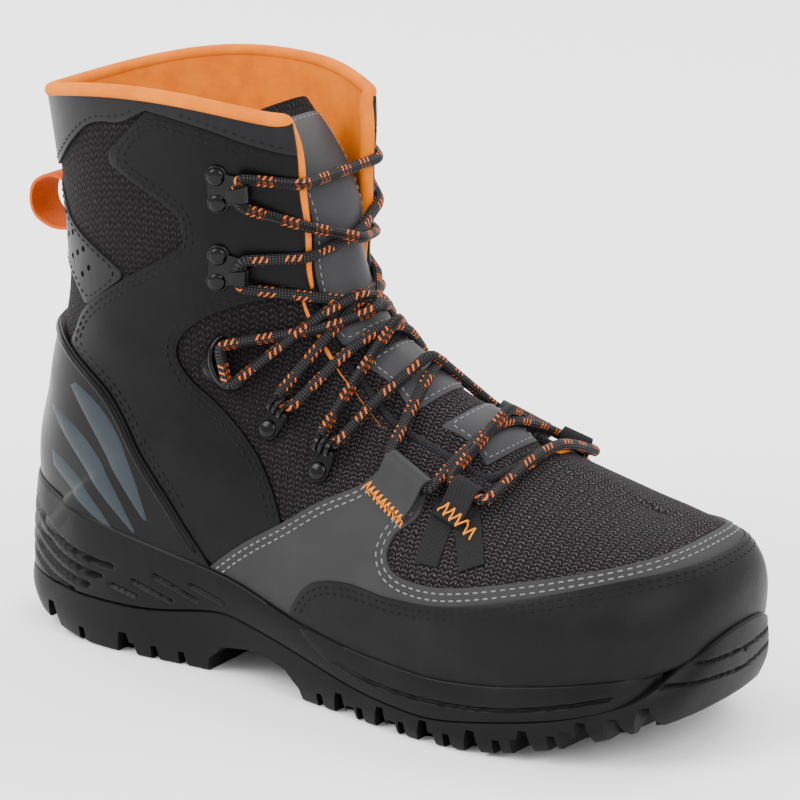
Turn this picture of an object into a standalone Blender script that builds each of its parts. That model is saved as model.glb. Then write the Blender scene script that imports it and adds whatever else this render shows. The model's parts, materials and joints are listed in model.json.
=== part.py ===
"""A lace-up wading boot for the right foot, modelled from its last outwards.

The boot stands on its tread, toe towards +X, the wearer's left towards +Y, up is +Z. The origin is on the
floor under the middle of the heel. Everything is in metres.
"""

import math

import bmesh
import bpy
import numpy as np
from mathutils import Matrix, Vector

# The last: what the foot asks for
UPPER_LENGTH = 0.303
BALL_WIDTH = 0.114
HEEL_WIDTH = 0.074
SHAFT_WIDTH = 0.086
UPPER_HEIGHT = 0.176

# The sole under it
HEEL_STACK = 0.033
BALL_STACK = 0.0185
TOE_SPRING = 0.022
HEEL_SETBACK = 0.046

# Walls and clearances
# SIDEWAYS reaches past the boot on either side of its middle, for what cuts it from the side.
SIDEWAYS = BALL_WIDTH
WALL = 0.0028
GAP = 0.0003
PANEL_GAP = 0.0005

# Columns of the last's sections. x is a share of UPPER_LENGTH from the heel's back, rise a share of
# UPPER_HEIGHT above the insole, and the half widths are shares of the row's own measure.
# top: the ridge over the foot. end: the edge on the insole, or from "back seam" up the middle of the back.
SECTION_COLUMNS = (
    "top_x", "top_rise", "end_x", "end_rise", "lateral_end", "medial_end", "lateral_wide", "medial_wide",
    "ridge", "widest", "round_top", "round_low", "fan", "crest",
)
SECTIONS = (
    # name, measure, then the columns above
    ("toe tip", "ball", 0.88, 0.282, 1.0, 0.0, 0.0, 0.0, 0.0, 0.0, 0.06, 0.7, 2.3, 2.0, 1.0, 0.0),
    ("toe corner", "ball", 0.874, 0.288, 0.985, 0.0, 0.225, 0.215, 0.235, 0.225, 0.06, 0.7, 2.3, 2.0, 1, 0),
    ("toe side", "ball", 0.86, 0.302, 0.94, 0.0, 0.39, 0.34, 0.405, 0.355, 0.05, 0.7, 2.2, 2.0, 0.9, 0.0),
    ("toe box", "ball", 0.83, 0.332, 0.865, 0.0, 0.475, 0.415, 0.5, 0.44, 0.04, 0.68, 2.1, 2.0, 0.6, 0.0),
    ("vamp", "ball", 0.785, 0.375, 0.785, 0.0, 0.505, 0.455, 0.535, 0.48, 0.03, 0.66, 2.0, 2.0, 0.2, 0.0),
    ("ball", "ball", 0.735, 0.418, 0.705, 0.0, 0.5, 0.465, 0.53, 0.495, 0.02, 0.66, 1.9, 2.0, 0.0, 0.0),
    ("waist", "ball", 0.69, 0.463, 0.595, 0.0, 0.45, 0.43, 0.49, 0.47, 0.01, 0.66, 1.9, 2.0, 0.0, 0.0),
    ("arch", "ball", 0.65, 0.506, 0.48, 0.0, 0.385, 0.37, 0.445, 0.43, 0.0, 0.66, 1.9, 2.0, 0.0, 0.0),
    ("instep", "heel", 0.607, 0.538, 0.365, 0.0, 0.5, 0.475, 0.59, 0.57, 0.0, 0.64, 1.9, 2.0, 0.0, 0.0),
    ("heel breast", "heel", 0.568, 0.573, 0.25, 0.0, 0.49, 0.475, 0.58, 0.565, 0.0, 0.6, 1.9, 2.0, 0.0, 0.0),
    ("heel seat", "heel", 0.53, 0.606, 0.135, 0.0, 0.46, 0.45, 0.565, 0.555, 0.0, 0.56, 1.95, 2.0, 0.0, 0.0),
    ("heel round", "heel", 0.5, 0.647, 0.043, 0.0, 0.31, 0.305, 0.55, 0.545, 0.0, 0.53, 2.0, 2.0, 0.0, 0.0),
    ("back seam", "heel", 0.482, 0.704, 0.008, 0.0, 0.0, 0.0, 0.535, 0.53, 0.0, 0.52, 2.1, 2.05, 0.0, 0.0),
    ("heel bulge", "heel", 0.472, 0.775, 0.004, 0.17, 0.0, 0.0, 0.52, 0.515, 0.0, 0.51, 2.2, 2.1, 0.0, 0.0),
    ("ankle", "shaft", 0.468, 0.842, 0.03, 0.37, 0.0, 0.0, 0.48, 0.48, 0.0, 0.5, 2.3, 2.1, 0.0, 0.0),
    ("over ankle", "shaft", 0.465, 0.909, 0.058, 0.575, 0.0, 0.0, 0.475, 0.475, 0, 0.5, 2.4, 2.1, 0, 0.02),
    ("shaft", "shaft", 0.465, 0.972, 0.052, 0.785, 0.0, 0.0, 0.49, 0.49, 0.0, 0.5, 2.5, 2.1, 0.0, 0.04),
    ("collar", "shaft", 0.465, 1.034, 0.036, 0.985, 0.0, 0.0, 0.51, 0.51, 0.0, 0.5, 2.5, 2.1, 0.0, 0.06),
)
SEAM_ROW = [row[0] for row in SECTIONS].index("back seam")
LAST_ROW = len(SECTIONS) - 1


def measures():
    return {"ball": BALL_WIDTH, "heel": HEEL_WIDTH, "shaft": SHAFT_WIDTH}


def smooth(low, high, x):
    """0 below low, 1 above high, and an S curve between."""
    t = np.clip((np.asarray(x, float) - low) / (high - low), 0, 1)
    return t * t * (3 - 2 * t)


def insole_height(x_share):
    """Height of the insole board at a share of the upper's length: heel pitch, then toe spring."""
    pitch = HEEL_STACK + (BALL_STACK - HEEL_STACK) * smooth(0.28, 0.66, x_share)
    toe = np.clip((np.asarray(x_share, float) - 0.68) / 0.32, 0, None)
    return pitch + TOE_SPRING * toe ** 1.8


def section_table():
    """The table in metres: one array per column, a value for each row."""
    size = measures()
    rows = []
    for name, measure, *shares in SECTIONS:
        row = dict(zip(SECTION_COLUMNS, shares))
        wide = size[measure]
        floor_top = float(insole_height(row["top_x"]))
        floor_end = float(insole_height(row["end_x"]))
        rows.append((
            row["top_x"] * UPPER_LENGTH - HEEL_SETBACK,
            floor_top + (row["top_rise"]) * UPPER_HEIGHT,
            row["end_x"] * UPPER_LENGTH - HEEL_SETBACK,
            floor_end + row["end_rise"] * UPPER_HEIGHT,
            row["lateral_end"] * wide, row["medial_end"] * wide,
            row["lateral_wide"] * wide, row["medial_wide"] * wide,
            row["ridge"] * wide, row["widest"], row["round_top"], row["round_low"],
            row["fan"], row["crest"] * UPPER_HEIGHT,
        ))
    return np.array(rows)


END_COLUMNS = [SECTION_COLUMNS.index(column) for column in ("lateral_end", "medial_end")]
SPREAD_COLUMNS = END_COLUMNS + [SECTION_COLUMNS.index(column) for column in ("lateral_wide", "medial_wide")]


def catmull(p0, p1, p2, p3, t):
    return 0.5 * (2 * p1 + (p2 - p0) * t + (2 * p0 - 5 * p1 + 4 * p2 - p3) * t ** 2
                  + (3 * p1 - p0 - 3 * p2 + p3) * t ** 3)


def section_at(row):
    """The section's values at a row number, which may lie between two rows of the table."""
    table = section_table()
    i = min(int(row), LAST_ROW - 1)
    before = table[i - 1].copy() if i > 0 else table[1].copy()
    after = table[i + 2].copy() if i + 2 <= LAST_ROW else 2 * table[LAST_ROW] - table[LAST_ROW - 1]
    if i == 0:
        before[SPREAD_COLUMNS] *= -1
    found = catmull(before, table[i], table[i + 1], after, row - i)
    if i == SEAM_ROW - 1:
        mirrored = table[i].copy()
        mirrored[END_COLUMNS] *= -1
        turned = catmull(before, table[i], table[i + 1], mirrored, row - i)
        found[2:6] = turned[2:6]
    if i >= SEAM_ROW:
        found[END_COLUMNS] = 0
    return dict(zip(SECTION_COLUMNS, found))


def wall_curve(row, side, steps=48):
    """Points of one half section, from the ridge to the insole's edge or the back seam.

    side is -1 on the lateral half and +1 on the medial.
    """
    s = section_at(row)
    half = "lateral" if side < 0 else "medial"
    end, wide = s[half + "_end"], s[half + "_wide"]
    a = np.linspace(0, 1, steps + 1)
    upper = np.clip(a * 2, 0, 1) * math.pi / 2
    lower = np.clip(a * 2 - 1, 0, 1) * math.pi / 2
    top_power, low_power = 2 / s["round_top"], 2 / s["round_low"]
    first = a <= 0.5
    m = s["widest"]
    drop = np.where(first, m * (1 - np.cos(upper) ** top_power), m + (1 - m) * np.sin(lower) ** low_power)
    swell = np.where(first, np.sin(upper) ** top_power, np.cos(lower) ** low_power)
    y = np.where(first, s["ridge"] * side * (1 - swell) + wide * swell, end + (wide - end) * swell)
    bulge = 1.04
    forward = np.where(first, bulge * swell, 1 + (bulge - 1) * swell)
    reach = s["end_x"] - s["top_x"]
    x = s["top_x"] + reach * ((1 - s["fan"]) * drop + s["fan"] * forward)
    z = s["top_rise"] + (s["end_rise"] - s["top_rise"]) * drop + s["crest"] * 4 * drop * (1 - drop)
    return np.stack([x, side * y, z], 1)


def along(points, shares):
    """Points at shares of a polyline's length."""
    steps = np.linalg.norm(np.diff(points, axis=0), axis=1)
    at = np.concatenate([[0], np.cumsum(steps)])
    at /= at[-1]
    return np.stack([np.interp(shares, at, points[:, k]) for k in range(3)], 1)


def share_where(points, values, level):
    """The share of a polyline's length at which a value first reaches a level."""
    steps = np.linalg.norm(np.diff(points, axis=0), axis=1)
    at = np.concatenate([[0], np.cumsum(steps)])
    passed = np.flatnonzero(values >= level)
    if len(passed) == 0:
        return 1.0
    k = passed[0]
    if k == 0:
        return 0.0
    t = (level - values[k - 1]) / (values[k] - values[k - 1])
    return float((at[k - 1] + t * (at[k] - at[k - 1])) / at[-1])


# The throat, from its front end up to the collar
THROAT_COLUMNS = ("row", "half_opening")
THROAT = (
    # row of the last, half opening as a share of the shaft's width
    (5.0, 0.14),
    (5.25, 0.26),
    (5.5, 0.31),
    (6.0, 0.33),
    (7.0, 0.33),
    (8.3, 0.30),
    (9.6, 0.27),
    (11.0, 0.25),
    (12.5, 0.26),
    (14.0, 0.29),
    (17.0, 0.34),
)
THROAT_ROW = 5.0
FRONT_SHARE = 0.11
FOOT_ROWS = (0, 0.5, 1, 1.5, 2, 2.5, 3, 4, 5, 5.25, 5.5, 6, 7, 8, 9, 9.5, 10, 10.5, 11, 11.5, 12)
ROWS = tuple(float(row) for row in FOOT_ROWS + (13, 14, 15, 16, 17))
INNER_NODES = 2
OUTER_NODES = 8


def throat_share(row, side):
    """Share of a half section's wall curve at which the throat's edge lies."""
    if row < THROAT_ROW:
        return FRONT_SHARE
    table = np.array(THROAT)
    opening = np.interp(row, table[:, 0], table[:, 1]) * SHAFT_WIDTH
    points = wall_curve(row, side)
    return share_where(points, np.abs(points[:, 1]), opening)


def node_shares(edge):
    """Shares of the grid's nodes along a half section: closer together towards the foot's edge."""
    below = 1 - (1 - np.linspace(0, 1, OUTER_NODES + 1)[1:]) ** 1.35
    return np.concatenate([np.linspace(0, edge, INNER_NODES + 1), edge + (1 - edge) * below])


def skin_grid():
    """Points of both halves: side, row, node. Node INNER_NODES lies on the throat's edge."""
    halves = []
    for side in (-1, 1):
        lines = []
        for row in ROWS:
            edge = throat_share(row, side)
            lines.append(along(wall_curve(row, side), node_shares(edge)))
        halves.append(lines)
    return np.array(halves)


GRID = skin_grid()
NODES = INNER_NODES + OUTER_NODES
SEAM_INDEX = ROWS.index(float(SEAM_ROW))


def skin_line(row, side):
    """The grid's line of nodes at one of its rows."""
    return GRID[0 if side < 0 else 1][ROWS.index(row)]


def collection_named(name, hidden=False):
    found = bpy.data.collections.get(name)
    if found is None:
        found = bpy.data.collections.new(name)
        bpy.context.scene.collection.children.link(found)
        found.hide_render = hidden
    return found


def add_object(name, mesh, where="wading boot"):
    found = bpy.data.objects.new(name, mesh)
    collection_named(where).objects.link(found)
    return found


def mesh_from(points, faces, closed=True):
    """A mesh with doubled points welded, empty faces dropped and its faces turned outward."""
    mesh = bpy.data.meshes.new("shape")
    work = bmesh.new()
    corners = [work.verts.new(tuple(p)) for p in points]
    for face in faces:
        try:
            work.faces.new([corners[k] for k in face])
        except ValueError:
            pass
    bmesh.ops.remove_doubles(work, verts=work.verts, dist=1e-6)
    bmesh.ops.dissolve_degenerate(work, edges=work.edges, dist=1e-6)
    bmesh.ops.recalc_face_normals(work, faces=work.faces)
    if closed and work.calc_volume(signed=True) < 0:
        bmesh.ops.reverse_faces(work, faces=work.faces)
    work.to_mesh(mesh)
    work.free()
    return mesh


def skin_faces(row_range, first_node_of, index):
    """Quads of both halves between the rows, from the first node asked for down to the last."""
    faces = []
    for half in (0, 1):
        for i in row_range:
            first = max(first_node_of(i), first_node_of(i + 1))
            low = min(first_node_of(i), first_node_of(i + 1))
            for k in range(first, NODES):
                a, b = index(half, i, k), index(half, i + 1, k)
                c, d = index(half, i + 1, k + 1), index(half, i, k + 1)
                here, ahead = GRID[half][i], GRID[half][i + 1]
                one_way = np.linalg.norm(here[k] - ahead[k + 1])
                other_way = np.linalg.norm(ahead[k] - here[k + 1])
                if one_way <= other_way:
                    faces += [(a, b, c), (a, c, d)]
                else:
                    faces += [(a, b, d), (b, c, d)]
            for k in range(low, first):
                if first_node_of(i) < first_node_of(i + 1):
                    faces.append((index(half, i, k), index(half, i + 1, first), index(half, i, k + 1)))
    return faces


def grid_index(half, i, k):
    return (half * len(ROWS) + i) * (NODES + 1) + k


def key(point):
    return tuple(int(round(value * 1e6)) for value in point)


FOOT_EDGE = {key(point) for half in GRID for line in half[:SEAM_INDEX + 1] for point in line[NODES:]}


def outward(vert):
    """A vertex's normal, turned level with the floor along the edge under the foot."""
    normal = vert.normal.copy()
    if key(vert.co) in FOOT_EDGE:
        normal.z = 0
        normal.normalize()
    return normal


def closed_form(offset=0.0):
    """The last's outside as one closed mesh, pushed outward by an offset."""
    points = GRID.reshape(-1, 3)
    faces = skin_faces(range(len(ROWS) - 1), lambda i: 0, grid_index)
    for i in range(SEAM_INDEX):
        near = [grid_index(0, j, NODES) for j in (i, i + 1)]
        far = [grid_index(1, j, NODES) for j in (i + 1, i)]
        faces.append(near + far)
    top = len(ROWS) - 1
    for k in range(NODES):
        near = [grid_index(half, top, k) for half in (0, 1)]
        far = [grid_index(half, top, k + 1) for half in (1, 0)]
        faces.append(near + far)
    mesh = mesh_from(points, faces)
    if offset:
        mesh.update()
        moved = []
        for vert in mesh.vertices:
            drop = Vector((0, 0, offset)) if key(vert.co) in FOOT_EDGE else Vector()
            moved.append(vert.co + outward(vert) * offset - drop)
        mesh.vertices.foreach_set("co", np.array(moved).ravel())
    return mesh


def open_skin(lift=0.0, with_throat=True):
    """The upper's skin as an open surface: open at the collar, under the foot and along the throat."""
    points = GRID.reshape(-1, 3)
    first = (lambda i: INNER_NODES if ROWS[i] > THROAT_ROW else 0) if with_throat else (lambda i: 0)
    faces = skin_faces(range(len(ROWS) - 1), first, grid_index)
    return mesh_from(points, faces, closed=False)


def shell_of(mesh, inner, outer):
    """A closed shell between two offsets of an open surface."""
    mesh.update()
    work = bmesh.new()
    work.from_mesh(mesh)
    lower = {v: v.co + outward(v) * inner for v in work.verts}
    upper = {v: v.co + outward(v) * outer for v in work.verts}
    made = bmesh.new()
    below = {v: made.verts.new(lower[v]) for v in work.verts}
    above = {v: made.verts.new(upper[v]) for v in work.verts}
    for face in work.faces:
        made.faces.new([above[v] for v in face.verts])
        made.faces.new([below[v] for v in reversed(face.verts)])
    for edge in work.edges:
        if edge.is_boundary:
            a, b = edge.verts
            made.faces.new([above[a], above[b], below[b], below[a]])
    bmesh.ops.recalc_face_normals(made, faces=made.faces)
    found = bpy.data.meshes.new("shell")
    made.to_mesh(found)
    made.free()
    work.free()
    return found


def cut(body, cutter, operation="DIFFERENCE", crosses_itself=False):
    """One Boolean, applied. The cutter mesh is kept hidden among the cutters."""
    tool = cutter
    if isinstance(cutter, bpy.types.Mesh):
        tool = bpy.data.objects.new("cutter", cutter)
        collection_named("cutters", True).objects.link(tool)
        tool.hide_render = True
        tool.display_type = "WIRE"
    modifier = body.modifiers.new("cut", "BOOLEAN")
    modifier.operation = operation
    modifier.solver = "EXACT"
    modifier.use_self = crosses_itself
    modifier.object = tool
    graph = bpy.context.evaluated_depsgraph_get()
    made = bpy.data.meshes.new_from_object(body.evaluated_get(graph), depsgraph=graph)
    body.modifiers.clear()
    body.data = made
    return body


def thinned(body, angle):
    """Merges the faces of a solid that lie in one plane, then keeps its largest piece."""
    work = bmesh.new()
    work.from_mesh(body.data)
    if angle > 0.0:
        bmesh.ops.remove_doubles(work, verts=work.verts, dist=2e-5)
        limit = math.radians(angle)
        bmesh.ops.dissolve_limit(work, angle_limit=limit, verts=work.verts, edges=work.edges)
        bmesh.ops.triangulate(work, faces=work.faces)
    pieces, seen = [], set()
    for start in work.verts:
        if start in seen:
            continue
        piece, queue = [], [start]
        seen.add(start)
        while queue:
            vert = queue.pop()
            piece.append(vert)
            for edge in vert.link_edges:
                other = edge.other_vert(vert)
                if other not in seen:
                    seen.add(other)
                    queue.append(other)
        pieces.append(piece)
    pieces.sort(key=len)
    for piece in pieces[:-1]:
        bmesh.ops.delete(work, geom=piece, context="VERTS")
    work.to_mesh(body.data)
    work.free()
    return body


# The sole
SOLE_COLUMNS = ("row", "lip", "split", "base", "bumper", "flange_split", "flange_base", "midsole_flange")
SOLE = (
    # heights above the floor, then how far each edge stands out from the insole's edge:
    # all are shares of the heel's stack
    (0.0, 1.22, 0.95, 0.56, 1.52, 0.17, 0.08, -0.10),
    (1.0, 1.17, 0.90, 0.52, 1.36, 0.20, 0.10, -0.10),
    (1.5, 1.10, 0.82, 0.47, 1.05, 0.22, 0.12, -0.10),
    (2.0, 1.05, 0.75, 0.41, 0.78, 0.24, 0.14, 0.22),
    (3.0, 0.93, 0.55, 0.19, 0.55, 0.27, 0.18, 0.26),
    (4.0, 0.82, 0.42, 0.03, 0.42, 0.29, 0.22, 0.28),
    (5.0, 0.75, 0.29, 0.00, 0.29, 0.29, 0.23, 0.28),
    (6.0, 0.79, 0.36, 0.00, 0.36, 0.28, 0.22, 0.27),
    (7.0, 0.94, 0.61, 0.00, 0.61, 0.30, 0.22, 0.29),
    (8.0, 1.21, 0.79, 0.00, 0.79, 0.32, 0.24, 0.31),
    (9.0, 1.39, 0.61, 0.00, 0.61, 0.34, 0.28, 0.33),
    (10.0, 1.58, 0.60, 0.00, 0.60, 0.33, 0.27, 0.32),
    (11.0, 1.73, 0.66, 0.18, 0.66, 0.27, 0.20, 0.26),
    (12.0, 1.76, 0.68, 0.24, 0.68, 0.18, 0.10, 0.17),
)
LIP_WALL = 0.0026
RAY_START = 0.25 * HEEL_WIDTH
SOLE_ROWS = tuple(float(row) for row in FOOT_ROWS if row != 5.25)


def sole_value(column, row):
    table = np.array(SOLE)
    return float(np.interp(row, table[:, 0], table[:, SOLE_COLUMNS.index(column)])) * HEEL_STACK


def sole_stations():
    """Round the sole: row, side, the insole's edge and the way out from it, level with the floor."""
    ring = [(row, -1) for row in SOLE_ROWS] + [(row, 1) for row in SOLE_ROWS[-2:0:-1]]
    edge = np.array([along(wall_curve(row, side), [1])[0] for row, side in ring])
    tangent = np.roll(edge, -1, axis=0) - np.roll(edge, 1, axis=0)
    out = np.stack([-tangent[:, 1], tangent[:, 0], 0 * tangent[:, 0]], 1)
    out /= np.linalg.norm(out, axis=1)[:, None]
    if np.sum(out[:, :2] * (edge[:, :2] - edge[:, :2].mean(axis=0))) < 0:
        out = -out
    return ring, edge, out


STATIONS, EDGE, OUT = sole_stations()


def level(height, flange):
    """A ring of points: a height and a flange for each station's row."""
    found = []
    for (row, side), edge, out in zip(STATIONS, EDGE, OUT):
        point = edge + out * flange(row)
        point[2] = height(row)
        found.append(point)
    return np.array(found)


def slice_of_skin(height):
    """The skin's outline at a height above the floor, round both sides."""
    halves = []
    for side in (-1, 1):
        found = []
        before = None
        for row in ROWS:
            line = skin_line(row, side)
            if line[-1][2] > height and row > SEAM_ROW:
                t = (height - before[2]) / (line[-1][2] - before[2])
                found.append(before + t * (line[-1] - before))
                break
            before = line[-1]
            found.append(along(line, [share_where(line, -line[:, 2], -height)])[0])
        halves.append(found)
    return np.array(halves[0] + halves[1][::-1])[:, :2]


def reach_of_skin(i, height):
    """How far the skin lies outside a station's edge at a height."""
    ring = slice_of_skin(height)
    out = OUT[i][:2]
    start = EDGE[i][:2] - out * RAY_START
    step = np.roll(ring, -1, axis=0) - ring
    span = ring - start
    turn = out[0] * step[:, 1] - out[1] * step[:, 0]
    turn = np.where(np.abs(turn) < 1e-12, 1e-12, turn)
    far = (span[:, 0] * step[:, 1] - span[:, 1] * step[:, 0]) / turn
    share = (span[:, 0] * out[1] - span[:, 1] * out[0]) / turn
    hit = (share >= -1e-6) & (share <= 1 + 1e-6)
    return float(far[hit].max()) - RAY_START


def lip_level(height, wall, grow):
    """A ring of points standing a wall's thickness outside the upper, at a height for each row."""
    found = []
    for i, (row, side) in enumerate(STATIONS):
        point = EDGE[i] + OUT[i] * (reach_of_skin(i, height(row)) + wall + grow)
        point[2] = height(row) + 2 * grow
        found.append(point)
    return np.array(found)


def loft(rings):
    """A closed block through rings of points, capped across from side to side."""
    count = len(rings[0])
    points = np.concatenate(rings)
    faces = []
    for j in range(len(rings) - 1):
        for i in range(count):
            n = (i + 1) % count
            faces.append((j * count + i, j * count + n, (j + 1) * count + n))
            faces.append((j * count + i, (j + 1) * count + n, (j + 1) * count + i))
    half = count // 2
    for j in (0, len(rings) - 1):
        for i in range(half):
            a, b = i, i + 1
            c, d = (count - i - 1) % count, (count - i) % count
            for three in ((a, b, c), (a, c, d)):
                if len(set(three)) == 3:
                    faces.append([j * count + k for k in three])
    return mesh_from(points, faces)


def midsole_block(grow=0.0):
    split = level(
        lambda r: sole_value("split", r) + GAP - grow,
        lambda r: sole_value("midsole_flange", r) + grow,
    )
    waist = level(
        lambda r: 0.55 * sole_value("split", r) + 0.45 * sole_value("lip", r),
        lambda r: 0.93 * sole_value("midsole_flange", r) + grow,
    )
    lip = lip_level(lambda r: sole_value("lip", r), LIP_WALL, grow)
    tucked = level(lambda r: sole_value("lip", r) + grow, lambda r: sole_value("midsole_flange", r) + grow)
    for i, (row, side) in enumerate(STATIONS):
        if row < 2:
            lip[i] = tucked[i]
    return loft([split, waist, lip])


def outsole_block(grow=0.0):
    base = level(lambda r: sole_value("base", r), lambda r: sole_value("flange_base", r) + grow)
    middle = level(
        lambda r: 0.45 * sole_value("base", r) + 0.55 * min(sole_value("split", r), sole_value("bumper", r)),
        lambda r: sole_value("flange_split", r) + grow,
    )
    top = level(
        lambda r: sole_value("bumper", r) + 2 * grow,
        lambda r: 0.97 * sole_value("flange_split", r) + grow,
    )
    wrapped = lip_level(lambda r: sole_value("bumper", r), 1.4 * LIP_WALL, grow)
    for i, (row, side) in enumerate(STATIONS):
        if row < 2:
            top[i] = wrapped[i]
    return loft([base, middle, top])


# Grooves moulded round the sole
GROOVE_COLUMNS = ("first_row", "height_there", "last_row", "height_at_last", "flange_column")
GROOVES = (
    # each runs round both sides, heights as shares of the heel's stack
    (9.3, 1.06, 12.0, 1.50, "midsole_flange"),
    (9.6, 0.92, 12.0, 1.30, "midsole_flange"),
    (9.9, 0.80, 12.0, 1.10, "midsole_flange"),
    (10.2, 0.70, 12.0, 0.92, "midsole_flange"),
    (0.0, 1.14, 1.6, 0.86, "flange_split"),
    (0.0, 0.90, 1.6, 0.68, "flange_split"),
)
GROOVE_DEPTH = 0.0011

# The tread
TREAD_DEPTH = 0.0052
TREAD_COLUMNS = ("x_share", "width", "reach", "lean")
TREAD = (
    # where each side groove crosses, as a share of the upper's length from the heel's back, its mouth in
    # shares of its depth and its reach inward in shares of the ball's width
    (0.080, 0.90, 0.30, 0.0),
    (0.210, 0.90, 0.30, 0.1),
    (0.560, 0.80, 0.26, 0.2),
    (0.628, 0.80, 0.26, 0.2),
    (0.696, 0.80, 0.26, 0.1),
    (0.764, 0.80, 0.26, 0.0),
    (0.832, 0.80, 0.26, -0.1),
    (0.900, 0.80, 0.24, -0.2),
    (0.962, 0.70, 0.20, -0.3),
)
CHANNEL_WIDTH = 0.0045
CHANNEL_SPREAD = 0.16
CHANNELS = ((0.175, 0.300), (0.530, 0.800))
ARCH = (
    # the hollow before the heel: share of the upper's length, share of the heel's stack
    (0.322, -0.10),
    (0.345, 0.22),
    (0.375, 0.40),
    (0.430, 0.46),
    (0.472, 0.34),
    (0.494, 0.12),
    (0.502, -0.10),
)

# Panels over the skin, seen from the side: shares of the upper's length, and of its height above the heel
RAND_LINE = (
    (0.465, -0.02), (0.510, 0.08), (0.562, 0.098), (0.634, 0.096), (0.716, 0.108),
    (0.818, 0.151), (0.915, 0.180), (0.968, 0.190), (1.040, 0.192),
)
TOE_WINDOW = (
    (0.700, 0.290), (0.655, 0.258), (0.627, 0.210), (0.625, 0.172), (0.650, 0.148), (0.710, 0.144),
    (0.808, 0.172), (0.900, 0.212), (0.952, 0.243), (0.958, 0.300), (0.900, 0.600), (0.750, 0.600),
)
COUNTER_LINE = (
    (0.030, 0.620), (0.115, 0.473), (0.180, 0.400), (0.240, 0.270), (0.292, 0.165), (0.340, 0.040),
)
# Corners out past the boot, that close these lines into outlines
BEHIND = -0.11
AHEAD = 1.14
BELOW = -0.30
ABOVE = 1.50
RAND_CLOSED = RAND_LINE + ((AHEAD, BELOW), (0.415, BELOW))
COUNTER_CLOSED = COUNTER_LINE + ((0.35, BELOW), (BEHIND, BELOW), (BEHIND, 0.642))
OVERLAY_CORNERS = ((0.696, 0.949), (AHEAD, 0.949))
RAND_CORNER = (1.10, 0.193)
OVERLAY_TOP = ((0.342, 0.055), (0.448, 0.182), (0.565, 0.296), (0.592, 0.352), (0.650, 0.330))
QUARTER_FRONT = (
    (0.342, 0.055), (0.448, 0.182), (0.421, 0.295), (0.365, 0.386), (0.303, 0.460), (0.291, 0.515),
    (0.338, 0.595), (0.386, 0.630), (0.430, 0.640), (0.470, 0.640), (0.470, 0.976), (0.234, 0.990),
)
ANKLE_FRONT = (
    (0.234, 0.990), (0.196, 0.903), (0.270, 0.852), (0.304, 0.784), (0.300, 0.744), (0.221, 0.659),
    (0.148, 0.568),
)
CUFF_LOW = (
    (-0.050, 0.760), (0.080, 0.850), (0.140, 0.940), (0.185, 0.982), (0.234, 0.994), (0.260, 1.012),
    (0.340, 1.006), (0.420, 0.980), (0.500, 0.970),
)
CUFF_CLOSED = CUFF_LOW + ((0.812, ABOVE), (BEHIND, ABOVE))
THICK = 0.0012
RUBBER = 0.0016
PADDING = 0.0024


def side_view(points, shift_x=0.0, shift_z=0.0):
    """Points of the side view in metres, from shares of the upper's length and height, and a shift."""
    left, low = shift_x - HEEL_SETBACK, shift_z + HEEL_STACK
    return [(left + x * UPPER_LENGTH, low + z * UPPER_HEIGHT) for x, z in points]


def prism(outline, low, high):
    """A closed prism on a side-view outline, between two values of y."""
    count = len(outline)
    points = [(x, low, z) for x, z in outline] + [(x, high, z) for x, z in outline]
    faces = [tuple(range(count)), tuple(range(count, 2 * count))]
    faces += [(i, (i + 1) % count, (i + 1) % count + count, i + count) for i in range(count)]
    mesh = bpy.data.meshes.new("prism")
    work = bmesh.new()
    corners = [work.verts.new(point) for point in points]
    for face in faces:
        work.faces.new([corners[k] for k in face])
    bmesh.ops.recalc_face_normals(work, faces=work.faces)
    bmesh.ops.triangulate(work, faces=[f for f in work.faces if len(f.verts) > 4])
    if work.calc_volume(signed=True) < 0:
        bmesh.ops.reverse_faces(work, faces=work.faces)
    work.to_mesh(mesh)
    work.free()
    return mesh


def groove_cutter(first_row, first_height, last_row, last_height, column):
    """A bar of three sides that follows the sole round, half sunk in its side and fading where it starts."""
    low_row, high_row = min(first_row, last_row) - 0.01, max(first_row, last_row) + 0.01
    ring = [i for i, (row, side) in enumerate(STATIONS) if low_row <= row <= high_row]
    around_heel = last_row == STATIONS[len(SOLE_ROWS) - 1][0]
    turned = 1 if around_heel else -1
    order = sorted((i for i in ring if STATIONS[i][1] < 0), key=lambda i: turned * STATIONS[i][0])
    order += sorted((i for i in ring if STATIONS[i][1] > 0), key=lambda i: -turned * STATIONS[i][0])
    faded_row = first_row if around_heel else last_row
    points, faces = [], []
    for i in order:
        row = STATIONS[i][0]
        height = np.interp(row, (first_row, last_row), (first_height, last_height)) * HEEL_STACK
        fade = 0.35 + 0.65 * min(1.0, abs(row - faded_row) / 0.8)
        side = sole_side(i, height, column)
        out = OUT[i]
        deep = GROOVE_DEPTH * fade
        for reach, rise in ((2.5 * deep, 2.2 * deep), (-deep, 0.0), (2.5 * deep, -2.2 * deep)):
            points.append(side + out * reach + np.array([0, 0, rise]))
    count = len(order)
    for j in range(count - 1):
        for k in range(3):
            faces.append((3 * j + k, 3 * j + (k + 1) % 3, 3 * j + 3 + (k + 1) % 3, 3 * j + 3 + k))
    faces.append((0, 1, 2))
    faces.append((3 * count - 3, 3 * count - 2, 3 * count - 1))
    return mesh_from(points, faces)


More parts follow.
